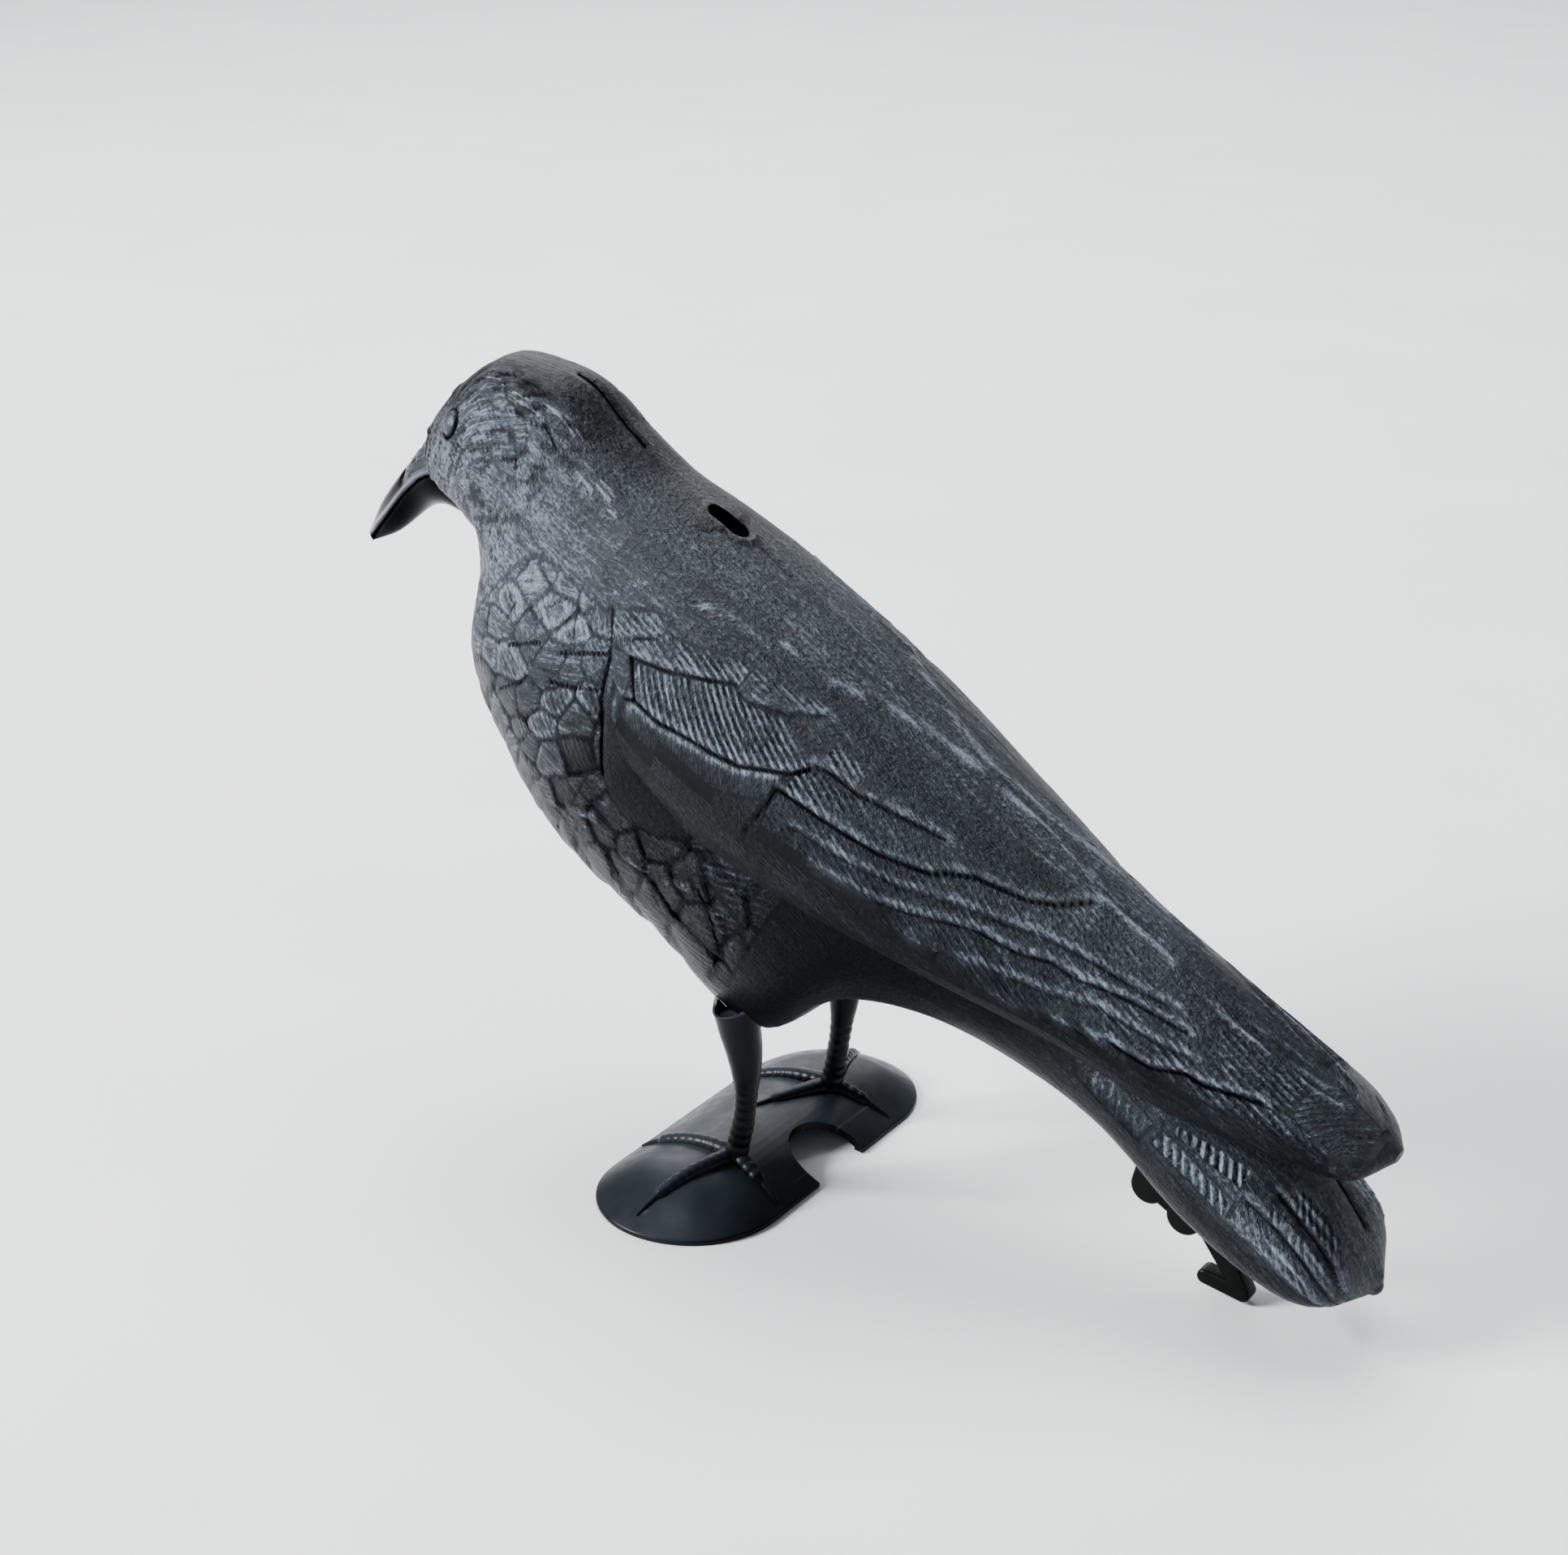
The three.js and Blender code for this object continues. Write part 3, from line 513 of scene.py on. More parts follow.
def both_halves(form, s, turn, make):
    """Rings round a whole form: the left half from top to bottom and the right half back up. make(side)
    gives a half's height and its marks."""
    halves, marks = [], []
    for side in (1, -1):
        height, *rest = make(side)
        points = form.point(s, turn) + form.normal(s, turn) * height[..., None]
        points[:, [0, -1], 0] = 0
        halves.append(points * [side, 1, 1])
        marks.append(rest)
    join = [np.concatenate([left, right[:, -2:0:-1]], 1) for left, right in zip(*marks)]
    return np.concatenate([halves[0], halves[1][:, -2:0:-1]], 1), join


def mark_sheets(lie, tall, pale, reach, polish):
    """The material's sheets for a mesh, by name."""
    return dict(lie=lie, mark=np.stack([tall, pale], -1), reach=reach, polish=polish)


def wing_skin():
    """The folded wings, sunk into the trunk ahead of their front edge and run into it over the mantle."""
    along = spread((0, 20, 2.5), (20, 42, 1.4), (42, 76, 0.65), (76, 106, 0.88), (106, wings.length, 1.75))
    shares = np.concatenate([np.linspace(0, 0.48, 96, endpoint=False), np.linspace(0.48, 1, 17)])
    s, turn, a, w = chart(wings, along, shares)
    base = wings.point(s, turn)
    gap = trunk.outside(base)
    front = np.interp(w, [0, 36, 42, 46, 54, 59, 70, 76.3, 83.7, 87, 95, 110, 150],
                      [0, 2, 14, 29, 33.5, 36.5, 38, 42.7, 47, 50, 60, 75, 90])
    mantle = 1 - ease(34, 44, w)
    below_hatching, below_rows = w - level(BELOW_B, a), w - level(E7, a)

    def half(side):
        carving = WING_PATCHES, WING_EDGES, WING_RIDGES, WING_GROOVES
        height, lie, tall, pale, reach = carve(a, w, side, *carving, 0.7)

        # The smooth panel below the hatched one, and the ticks that run down into it
        panel = ease(-0.5, 0.7, np.minimum.reduce([a - 38, 100.5 - a, below_hatching, 97 - w]))
        hollow = (-0.1 + 0.03 * noise(a / 3, side * w / 3, 6) - 0.7 * np.exp(-below_hatching / 9)
                  - 0.6 * hump(near(a, w, C_REAR), 0.7))
        height = mix(height, hollow, panel)
        ticks = panel * hump(below_hatching, 5)
        lie = np.where(ticks[..., None] > 0.05, barbs(a, w, [(0, 55)], 2.1), lie)
        tall = tall * (1 - panel) + 0.14 * ticks
        # Painted highlight along the panel's top, just below the hatched panel's floor
        pale = mix(pale, 0.6 * hump(below_hatching - 1.5, 0.9), panel)

        # The bare side below the rows of feathers, with painted shade
        low = ease(0, 5, below_rows) * ease(103, 108, a)
        height = mix(height, -0.7, low)
        tall, reach, pale = tall * (1 - low), reach + 2 * low, pale - 0.15 * low

        # Tones: painted light on the shoulder and upper edge, painted shade on the lower edge, the side and
        # the end
        pale = pale + 0.3 * (1 - ease(5, 70, a)) * ease(20, 45, w) - 0.4 * ease(-8, 12, below_rows)
        pale = pale - 0.12 * ease(60, 120, a) * ease(30, 46, w) - 0.12 * ease(205, 240, a)
        pale = pale + 0.2 * (1 - ease(20, 38, w + 0.1 * a)) * ease(20, 70, a)
        pale = np.maximum(pale, WING_DARKEST)

        # Lie of the wing on the trunk: proud of it behind the front line, sunk ahead of it, run into it
        # over the mantle and at the lower edge
        hold = ease(0, 1.5, a - front) * (1 - ease(70, 100, a)) * ease(36, 44, w) * (1 - ease(76, 86, w))
        height = height + hold * np.maximum(0.35 - gap, 0)
        ahead = ease(0, -1.6, a - front) * (1 - mantle)
        height = mix(height, -(np.maximum(gap, 0) + 2.5), ahead)
        height = height + smooth_join(gap, 7) * mantle * (1 - ease(85, 115, a))
        height = height + smooth_join(gap, 2.5) * ease(78, 88, w) * (1 - ease(90, 110, a)) * (1 - ahead)
        height = height + slot_marks(base) * ease(6, 17, a)
        height = height * ease(0, 8, a) * ease(wings.length, wings.length - 5, a)
        return height, lie, tall, pale, reach

    rings, (lie, tall, pale, reach) = both_halves(wings, s, turn, half)
    return rings, mark_sheets(lie, tall, pale, reach, 0 * tall)


def trunk_skin():
    """Head, breast, belly and tail in one skin, lowered where the wings cover it."""
    along = spread((0, 62, 1.0), (62, 140, 0.97), (140, 205, 1.4), (205, 290, 3), (290, 318, 1.3),
                   (318, 386, 0.85), (386, trunk.length, 0.8))
    shares = np.concatenate([np.linspace(0, 0.12, 8, endpoint=False),
                             np.linspace(0.12, 0.66, 72, endpoint=False), np.linspace(0.66, 1, 12)])
    s, turn, a, w = chart(trunk, along, shares)
    base = trunk.point(s, turn)
    gap = wings.outside(base)
    eye = np.linalg.norm(base - trunk.point(EYE["s"], EYE["turn"]), axis=-1)
    bill_corner = np.linalg.norm(base - trunk.point(BILL_CORNER["s"], BILL_CORNER["turn"]), axis=-1)
    leg_top = np.linalg.norm(base - LEG_TOP, axis=-1)
    covered = ease(78, 105, a) * (1 - ease(62, 80, turn)) * (1 - ease(315, 350, a)) * ease(1.5, 5, -gap)
    joined = 1 - ease(50, 62, turn)

    def half(side):
        sw = side * w
        carving = TRUNK_PATCHES, TRUNK_EDGES, TRUNK_RIDGES, TRUNK_GROOVES
        height, lie, tall, pale, reach = carve(a, w, side, *carving, 1.0)
        plain = ease(0, 2, level(PLAIN_C, a) - w) * ease(100, 106, a) * (1 - ease(166, 176, a))

        # Breast: blocks 10 mm wide, each tipped and barbed its own way
        breast = ease(62, 82, a + 0.25 * (w - 60)) * (1 - ease(132, 142, a)) * ease(42, 54, w) * (1 - plain)
        border, value, away = tiles(a + 2 * noise(a / 9, sw / 9, 15),
                                    w + 2 * noise(a / 8, sw / 8, 16) + OTHER_BLOCKS * (side < 0), 10.5, 17)
        slant = np.radians(180 * value[..., 0])
        tipped = 0.045 * (away[..., 0] * np.cos(slant) + away[..., 1] * np.sin(slant))
        height = height + breast * (tipped - 0.1 - 0.35 * hump(border, 1.0))
        lie = np.where(breast[..., None] > 0.4, barbs(a, w, 55 * value[..., 1], 1.75), lie)
        coarse = 0.2 * ease(98, 112, a + 0.2 * w - 12) + 0.08 * value[..., 0]
        tall = np.maximum(tall, breast * (0.1 + coarse))
        # Painted shade in the cracks between the blocks, broken up by noise
        broken = 0.15 + 0.75 * noise(a / 4, sw / 4, 18)
        reach = np.minimum(reach, border + FADED * (1 - broken * breast))
        pale = pale + breast * 0.4 * hump(border - 1.5, 0.7) * (value[..., 0] > -0.2)

        # Belly: larger blocks with coarser barbs that lean back, and two tufts behind them
        belly = ease(126, 138, a) * (1 - ease(192, 200, a)) * ease(80, 88, w + 0.25 * (a - 130))
        belly = belly * (1 - plain)
        border, value, away = tiles(a + 2 * noise(a / 12, sw / 12, 21),
                                    w + 2 * noise(a / 12, sw / 12, 22) + OTHER_BLOCKS * (side < 0), 13.5, 23)
        tipped = 0.05 * away[..., 0] - 0.03 * away[..., 1]
        height = height + belly * (tipped - 0.2 - 0.6 * hump(border, 1.0))
        lie = np.where(belly[..., None] > 0.4, barbs(a, w, -34 + 14 * value[..., 1], 2.3), lie)
        tall = np.maximum(tall, belly * (0.3 + 0.15 * value[..., 0]))
        # Painted shade in the cracks between the blocks
        reach = np.minimum(reach, border + FADED - (0.3 + 0.6 * noise(a / 6, sw / 6, 19)) * belly)
        pale = pale + belly * 0.5 * hump(border - 1.7, 0.8) * (away[..., 1] < 0)
        for start, stop, upper, lower in ((173, 190, 72, 86), (182, 192, 87, 96)):
            tuft = ease(-1, 1.5, np.minimum.reduce([a - start, stop - a, w - upper, lower - w]))
            lie = np.where(tuft[..., None] > 0.4, barbs(a, w, [(0, -34)], 2.3), lie)
            tall = mix(tall, 0.55, tuft)

        # Head: broken barbs along the brow, and bare spots between the barbs of the cheek
        brow = hump(near(a, w, BROW + BROW_REAR), 3.2) * ease(-0.1, 0.3, noise(a / 6, sw / 2.4, 13))
        lie = np.where(brow[..., None] > 0.15, barbs(a, w, [(0, 3)], 2.0), lie)
        tall, pale = np.maximum(tall, 1.1 * brow), pale - 0.1 * brow
        cheek = ease(20, 28, a) * ease(60, 48, a) * ease(10, 14, w) * ease(50, 40, w)
        tall = tall * (1 - cheek * ease(0.1, -0.3, noise(a / 2.6, sw / 2.6, 14)))

        # Smooth skin beside and behind the wing, with painted shade, and painted shade on the outer side of
        # the tail
        smooth = np.maximum(ease(196, 206, a) * (1 - ease(287, 292, a)), plain)
        tall, height, pale = tall * (1 - smooth), height * (1 - 0.7 * smooth), pale - 0.5 * smooth
        dark = ease(36, 41, w) * ease(285, 295, a)
        tall, pale = tall * (1 - dark) * (1 - 0.42 * ease(290, 300, a)), np.maximum(pale - 0.6 * dark, -0.2)

        # Short dark strokes on the head, 3 mm long and 1 mm wide, on a slant
        stroke = noise((0.77 * a - 0.64 * w) / 3.2, side * (0.64 * a + 0.77 * w) / 1.1, 33)
        stroke = ease(0.26, 0.5, stroke) * (1 - ease(56, 72, a)) * ease(8, 14, w)
        height = height - 0.3 * stroke
        if side < 0:
            away = near(a, w, [(366, 6), (381, 3)])
            reach, height = np.minimum(reach, away), height - 0.7 * hump(away, 1.0)

        # Eye: a low rim in the skin, painted shade in a ring round the ball, and a pit under it; the bill's
        # corner swells
        height = height * ease(4.5, 8, eye) + 0.75 * hump(eye - 5.4, 1.1) - 0.9 * ease(4.6, 3.4, eye)
        reach = np.minimum(np.where(eye < 8, NO_GROOVE, reach), np.abs(eye - 4.4) + 0.1)
        height = height + 1.3 * hump(bill_corner, 5.5)

        # Under the wings: let down by 3 mm where they cover it, run into them over the mantle
        height = mix(height, -3, covered)
        height = height + smooth_join(gap, 7) * joined * (a < 155) + slot_marks(base) * (1 - covered)

        # Tones: painted light on the head and neck, painted shade on the belly and underside, nape and
        # collar, a paler tail fan
        underside_shade = ease(56, 92, w + 0.4 * (np.minimum(a, 150) - 100)) * (1 - ease(250, 300, a)) * (1 - plain)
        nape_shade = (1 - ease(8, 28, w)) * (1 - ease(50, 100, a))
        collar_shade = (1 - ease(20, 50, w)) * ease(55, 90, a) * (1 - ease(130, 170, a))
        fan = ease(300, 345, a) * (1 - ease(34, 38, w))
        pale = pale + 0.4 * (1 - ease(75, 150, a)) - 0.35 * ease(105, 150, a) * (1 - ease(250, 300, a))
        pale = pale - 0.4 * underside_shade - 0.72 * nape_shade - 0.32 * collar_shade - 0.5 * stroke + 0.2 * fan
        pale = np.maximum(pale, TRUNK_DARKEST)

        # Kept inside the solid's outline on the crown, plain at the legs, faded out at both ends
        crown = ease(34, 20, w) * ease(66, 50, a)
        height = np.where(crown > 0.5, np.minimum(height, 0.25), height)
        height = np.minimum(height, np.interp(a, [24, 34, 50, 60], [1.5, -0.05, -0.05, 1.5]) + 0.12 * w)
        height = np.where(leg_top < 24, height * ease(16, 24, leg_top), height)
        height = height - 0.6 * ease(236, 241, base[..., 2])
        height = height * ease(0, 8, a) * ease(trunk.length, trunk.length - 6, a)
        return height, lie, tall, pale, reach

    rings, (lie, tall, pale, reach) = both_halves(trunk, s, turn, half)
    return rings, mark_sheets(lie, tall, pale, reach, 0 * tall)


def beak_skin():
    """The bill: smooth horn shape with the line where its halves meet, painted shade in that line, a painted
    highlight along the upper half's edge, and bristles over the nostrils. down is mm round the section from
    that line: the angle from it times the section's mean radius."""
    s = np.linspace(0, 1, 60)[:, None] + np.zeros((1, 33))
    turn = np.linspace(0, 180, 33)[None, :] + 0 * s
    station = beak.station(s)
    depth = np.hypot(station[..., 0] - station[..., 2], station[..., 1] - station[..., 3])
    down = np.radians(turn - (96 - 10 * s)) * (depth / 2 + station[..., 4]) / 2
    root = ease(0.5, 0.66, s) * (1 - ease(70, 85, turn)) * ease(18, 30, turn)

    def half(side):
        lips = 0.5 * hump(down + 1.1, 0.8) - 0.7 * hump(down - 0.4, 0.6)
        bristles = root * (0.5 + 0.5 * noise(s * 26, side * turn / 7, 23))
        nostril = 0.6 * hump((s - 0.5) * beak.length, 1.2) * hump(turn - 50, 14)
        height = lips * ease(0.03, 0.15, s) * (1 - ease(0.7, 0.85, s)) + bristles - nostril
        reach = np.minimum(np.abs(down - 0.4) + 0.15, NO_GROOVE)
        lie = barbs(s * beak.length, side * down, [(0, 0)], 1.7)
        return height * ease(0, 0.05, s), lie, 0.3 * root, 0.3 * root, reach

    rings, (lie, tall, pale, reach) = both_halves(beak, s, turn, half)
    around = np.concatenate([down, down[:, -2:0:-1]], 1)
    lower = ease(-0.2, 0.8, around)
    # Painted highlight along the upper half's edge; the bill darker than the plumage, the lower half darker
    # still as painted shade
    pale = pale + 1.6 * hump(around + 1.3, 0.8) - 0.25 * (1 - lower) - 0.43 * lower
    return rings, mark_sheets(lie, tall, pale, reach, 1 - 0.9 * ease(0.1, 0.25, tall))


def even_sheets(rings, polish=0.0, pale=0.0):
    """Sheets for a form without carving: one polish and one paleness, and no groove near."""
    blank = np.zeros(rings.shape[:2])
    lie = np.stack([blank, blank], -1)
    return mark_sheets(lie, blank, blank + pale, blank + NO_GROOVE, blank + polish)


# Angle in radians left open round a ball's poles for the fans, and the rise of a tangent above which a bar
# counts as standing
POLE = 0.06
STANDING = 0.8
UPWARDS = np.array([0, 0, 1.0])
# Play in mm between the belly and the pieces under it
PLAY = 0.1


def ball(place, normal, radius, flat, rows=14, columns=28):
    """A ball flattened along the normal: radius * (sin a around, -flat * cos a up), from pole to pole."""
    angle = np.linspace(POLE, np.pi - POLE, rows)[:, None]
    spin = np.linspace(0, 2 * np.pi, columns, endpoint=False)[None, :]
    n = Vector(normal).normalized()
    one = n.orthogonal().normalized()
    two = n.cross(one)
    n, one, two = (np.array(v) for v in (n, one, two))
    ring = np.sin(angle)[..., None] * (np.cos(spin)[..., None] * one + np.sin(spin)[..., None] * two)
    return np.asarray(place) + radius * ring - radius * flat * np.cos(angle)[..., None] * n


def tube(points, radii, count):
    """Rings of a round bar: at each point, two directions square to the path's tangent t, first = up x t
    (or X where the bar stands) made square, second = t x first; radii may vary round the ring."""
    along = np.gradient(points, axis=0)
    along /= np.linalg.norm(along, axis=1, keepdims=True)
    standing = np.abs(along[:, 2:]) > STANDING
    start = np.where(standing, np.array([1.0, 0, 0]), np.cross(UPWARDS, along))
    first = start - (start * along).sum(1, keepdims=True) * along
    first /= np.linalg.norm(first, axis=1, keepdims=True)
    second = np.cross(along, first)
    spin = np.linspace(0, 2 * np.pi, count, endpoint=False)[None, :, None]
    ring = np.cos(spin) * first[:, None] + np.sin(spin) * second[:, None]
    return points[:, None] + ring * np.asarray(radii)[..., None].reshape(len(points), -1, 1)


def mesh_object(name, rings, sheets=None):
    """A closed mesh from rings of points in mm: quads between neighbouring rings, and at each end a fan
    to the ring's middle. The ring's direction crossed with the order of the rings points outwards.
    Sheets are stored at the faces' corners, which keeps them through the joins."""
    rows, count = rings.shape[:2]
    points = np.concatenate([rings.reshape(-1, 3), rings[0].mean(0)[None], rings[-1].mean(0)[None]])
    points = (points + [0, SHIFT, 0]) * MM
    i, j = np.meshgrid(np.arange(rows - 1), np.arange(count), indexing="ij")
    a, b = i * count + j, i * count + (j + 1) % count
    quads = np.stack([a, b, b + count, a + count], -1).reshape(-1, 4)
    j = np.arange(count)
    k = (j + 1) % count
    last = (rows - 1) * count
    first_fan = np.stack([np.full(count, rows * count), k, j], -1)
    last_fan = np.stack([np.full(count, rows * count + 1), last + j, last + k], -1)
    mesh = bpy.data.meshes.new(name)
    mesh.from_pydata(points.tolist(), [], quads.tolist() + first_fan.tolist() + last_fan.tolist())
    mesh.update()
    corner = np.empty(len(mesh.loops), int)
    mesh.loops.foreach_get("vertex_index", corner)
    for key, field in (sheets or {}).items():
        flat = field.reshape(rows * count, -1)
        flat = np.concatenate([flat, flat[:count].mean(0)[None], flat[-count:].mean(0)[None]])
        flat = flat[corner].astype(np.float32)
        kind, slot = ("FLOAT2", "vector") if flat.shape[1] == 2 else ("FLOAT", "value")
        mesh.attributes.new(key, kind, "CORNER").data.foreach_set(slot, flat.ravel())
    obj = bpy.data.objects.new(name, mesh)
    bpy.context.scene.collection.objects.link(obj)
    return obj


def combine(name, whole, joined=(), cut=()):
    """One closed mesh: whole with the joined meshes added and the cut meshes taken away."""
    for other, operation in [(o, "UNION") for o in joined] + [(o, "DIFFERENCE") for o in cut]:
        step = whole.modifiers.new(operation.lower(), "BOOLEAN")
        step.operation = operation
        step.solver = "MANIFOLD"
        step.object = other
    bpy.context.view_layer.update()
    ready = whole.evaluated_get(bpy.context.evaluated_depsgraph_get())
    mesh = bpy.data.meshes.new_from_object(ready)
    mesh.name = name
    for spent in [whole, *joined, *cut]:
        old = spent.data
        bpy.data.objects.remove(spent)
        if old.users == 0:
            bpy.data.meshes.remove(old)
    obj = bpy.data.objects.new(name, mesh)
    bpy.context.scene.collection.objects.link(obj)
    return obj


def finish_piece(obj, node, material, crease):
    """Smooth shading with creases at sharp corners, one material, and the piece's place in the frame."""
    mesh = obj.data
    mesh.materials.clear()
    mesh.materials.append(material)
    mesh.polygons.foreach_set("use_smooth", np.ones(len(mesh.polygons), bool))
    mesh.polygons.foreach_set("material_index", np.zeros(len(mesh.polygons), int))
    mesh.set_sharp_from_angle(angle=np.radians(crease))
    mesh.update()
    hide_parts(node)
    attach(obj, BODY)


def linear(code):
    """An sRGB hex colour as linear red, green, blue, alpha."""
    c = np.array([int(code[i:i + 2], 16) / 255 for i in (1, 3, 5)])
    c = np.where(c <= 0.04045, c / 12.92, ((c + 0.055) / 1.055) ** 2.4)
    return (*c.tolist(), 1.0)


# Kinds of node that are used many times
MATH, NOISE, RANGE = "ShaderNodeMath", "ShaderNodeTexNoise", "ShaderNodeMapRange"


def add(tree, kind, settings=None, links=None):
    """Adds a node, sets its properties, sockets and colour stops, and links its inputs to outputs."""
    node = tree.nodes.new(kind)
    for key, value in (settings or {}).items():
        if key == "stops":
            while len(node.color_ramp.elements) < len(value):
                node.color_ramp.elements.new(0.5)
            for element, (place, code) in zip(node.color_ramp.elements, value):
                element.position = place
                element.color = linear(code)
        elif isinstance(key, int) or key in node.inputs:
            node.inputs[key].default_value = value
        else:
            setattr(node, key, value)
    for key, output in (links or {}).items():
        tree.links.new(output, node.inputs[key])
    return node


def new_material(name):
    """An empty node material: returns it, its tree, its shader and Object coordinates."""
    material = bpy.data.materials.new(name)
    material.use_nodes = True
    tree = material.node_tree
    tree.nodes.clear()
    shader = add(tree, "ShaderNodeBsdfPrincipled")
    add(tree, "ShaderNodeOutputMaterial", links={"Surface": shader.outputs["BSDF"]})
    place = add(tree, "ShaderNodeTexCoord").outputs["Object"]
    return material, tree, shader, place


def blow_moulded_polyethylene():
    """Blow-moulded polyethylene, pigmented blue-black: satin over the feathers, where the barbs catch the
    light, and glossier on the bill. Its colour adds painted highlight on barb crests and edges, partly wear,
    and painted shade near black in the grooves."""
    material, tree, shader, place = new_material("blow_moulded_polyethylene")
    shader.inputs["IOR"].default_value = 1.51
    shader.inputs["Specular Tint"].default_value = linear("#dbe4f0")
    maps = [add(tree, "ShaderNodeUVMap", {"uv_map": name}).outputs["UV"] for name in ("lie", "mark")]
    lie, mark, spot = [add(tree, "ShaderNodeSeparateXYZ", links={0: v}).outputs for v in (*maps, place)]
    tall, pale = mark["X"], mark["Y"]
    reach, polish = [add(tree, "ShaderNodeAttribute", {"attribute_name": name}).outputs["Fac"]
                     for name in ("reach", "polish")]
    matt = add(tree, MATH, {"operation": "SUBTRACT", 0: 1.0}, {1: polish}).outputs[0]
    # groove: near a groove; it darkens the colour as painted shade, and roughens, dulls and sinks the skin
    groove = add(tree, RANGE, {"interpolation_type": "SMOOTHSTEP", "From Min": 1.0, "From Max": 0.2},
                 {"Value": reach}).outputs["Result"]

    # Barbs: a sine of the turns counted across them, which in the colour paints highlight on their crests
    # and shade in their hollows
    turns = add(tree, MATH, {"operation": "MULTIPLY", 1: 2 * np.pi}, {0: lie["X"]}).outputs[0]
    wave = add(tree, MATH, {"operation": "SINE"}, {0: turns}).outputs[0]
    ribs_and_glints = add(tree, MATH, {"operation": "MULTIPLY"}, {0: wave, 1: tall}).outputs[0]

    # Fibre and worn streaks: noise drawn out along the barbs, another one on each side of the bird. Real
    # fibres are about 0.1 mm apart and are drawn 0.6 mm apart, so that they show
    drawn = add(tree, MATH, {"operation": "MULTIPLY", 1: 0.16}, {0: lie["Y"]}).outputs[0]
    layer = add(tree, MATH, {"operation": "MULTIPLY", 1: 30.0}, {0: spot["X"]}).outputs[0]
    strand = add(tree, "ShaderNodeCombineXYZ", links={0: lie["X"], 1: drawn, 2: layer}).outputs[0]
    hair = add(tree, NOISE, {"Scale": 3.2, "Detail": 3.0, "Roughness": 0.65}, {"Vector": strand})
    fibre = add(tree, MATH, {"operation": "SUBTRACT", 1: 0.5}, {0: hair.outputs["Fac"]}).outputs[0]
    fibre = add(tree, MATH, {"operation": "MULTIPLY"}, {0: fibre, 1: matt}).outputs[0]
    long = add(tree, "ShaderNodeVectorMath", {"operation": "MULTIPLY", 1: (0.75, 0.35, 1.0)}, {0: strand})
    streak = add(tree, NOISE, {"Scale": 1.0, "Detail": 2.0, "Distortion": 0.8}, {"Vector": long.outputs[0]})

    # The mould's blasted grain, really about 0.3 mm across, is drawn 1.3 mm across (760 to the metre), and
    # cloudy patches are 22 mm across (45 to the metre)
    grain = add(tree, NOISE, {"Scale": 760.0, "Detail": 3.0, "Roughness": 0.6}, {"Vector": place})
    worn = add(tree, MATH, {"operation": "ADD"}, {0: grain.outputs["Fac"], 1: streak.outputs["Fac"]})
    worn = add(tree, MATH, {"operation": "SUBTRACT", 1: 1.0}, {0: worn.outputs[0]}).outputs[0]
    worn = add(tree, MATH, {"operation": "MULTIPLY"}, {0: worn, 1: matt}).outputs[0]
    mottle = add(tree, NOISE, {"Scale": 45.0, "Detail": 4.0}, {"Vector": place}).outputs["Fac"]

    # Shade, roughness, gloss and relief in mm, each a start and shares of the marks
    # In the colour, the barbs and their height give painted highlight, pale gives painted light and shade
    # with wear and tone, groove gives painted shade
    sums = {}
    for name, start, parts in (
            ("shade", 0.33, ((0.27, ribs_and_glints), (0.38, tall), (1.0, fibre), (0.62, worn), (0.2, mottle),
                             (0.6, pale), (-0.6, groove), (-0.25, polish))),
            ("roughness", 0.36, ((-0.14, polish), (0.25, groove), (0.1, mottle), (0.2, pale))),
            ("gloss", 0.22, ((-0.2, groove), (-0.08, polish), (0.3, pale))),
            ("relief", 0.0, ((0.5, ribs_and_glints), (1.2, fibre), (-0.35, groove), (0.5, worn)))):
        start_value, links = {2: start}, {}
        for share, part in parts:
            settings = {"operation": "MULTIPLY_ADD", 1: share, **start_value}
            step = add(tree, MATH, settings, {0: part, **links})
            start_value, links = {}, {2: step.outputs[0]}
        step.use_clamp = name == "gloss"
        sums[name] = step.outputs[0]
    stops = [(0.0, "#000101"), (0.3, "#07090c"), (0.6, "#20262c"), (1.0, "#6c7580")]
    colour = add(tree, "ShaderNodeValToRGB", {"stops": stops}, {"Fac": sums["shade"]}).outputs["Color"]
    bump = add(tree, "ShaderNodeBump", {"Strength": 1.0, "Distance": MM}, {"Height": sums["relief"]})
    tree.links.new(colour, shader.inputs["Base Color"])
    tree.links.new(sums["roughness"], shader.inputs["Roughness"])
    tree.links.new(sums["gloss"], shader.inputs["Specular IOR Level"])
    tree.links.new(bump.outputs["Normal"], shader.inputs["Normal"])
    return material


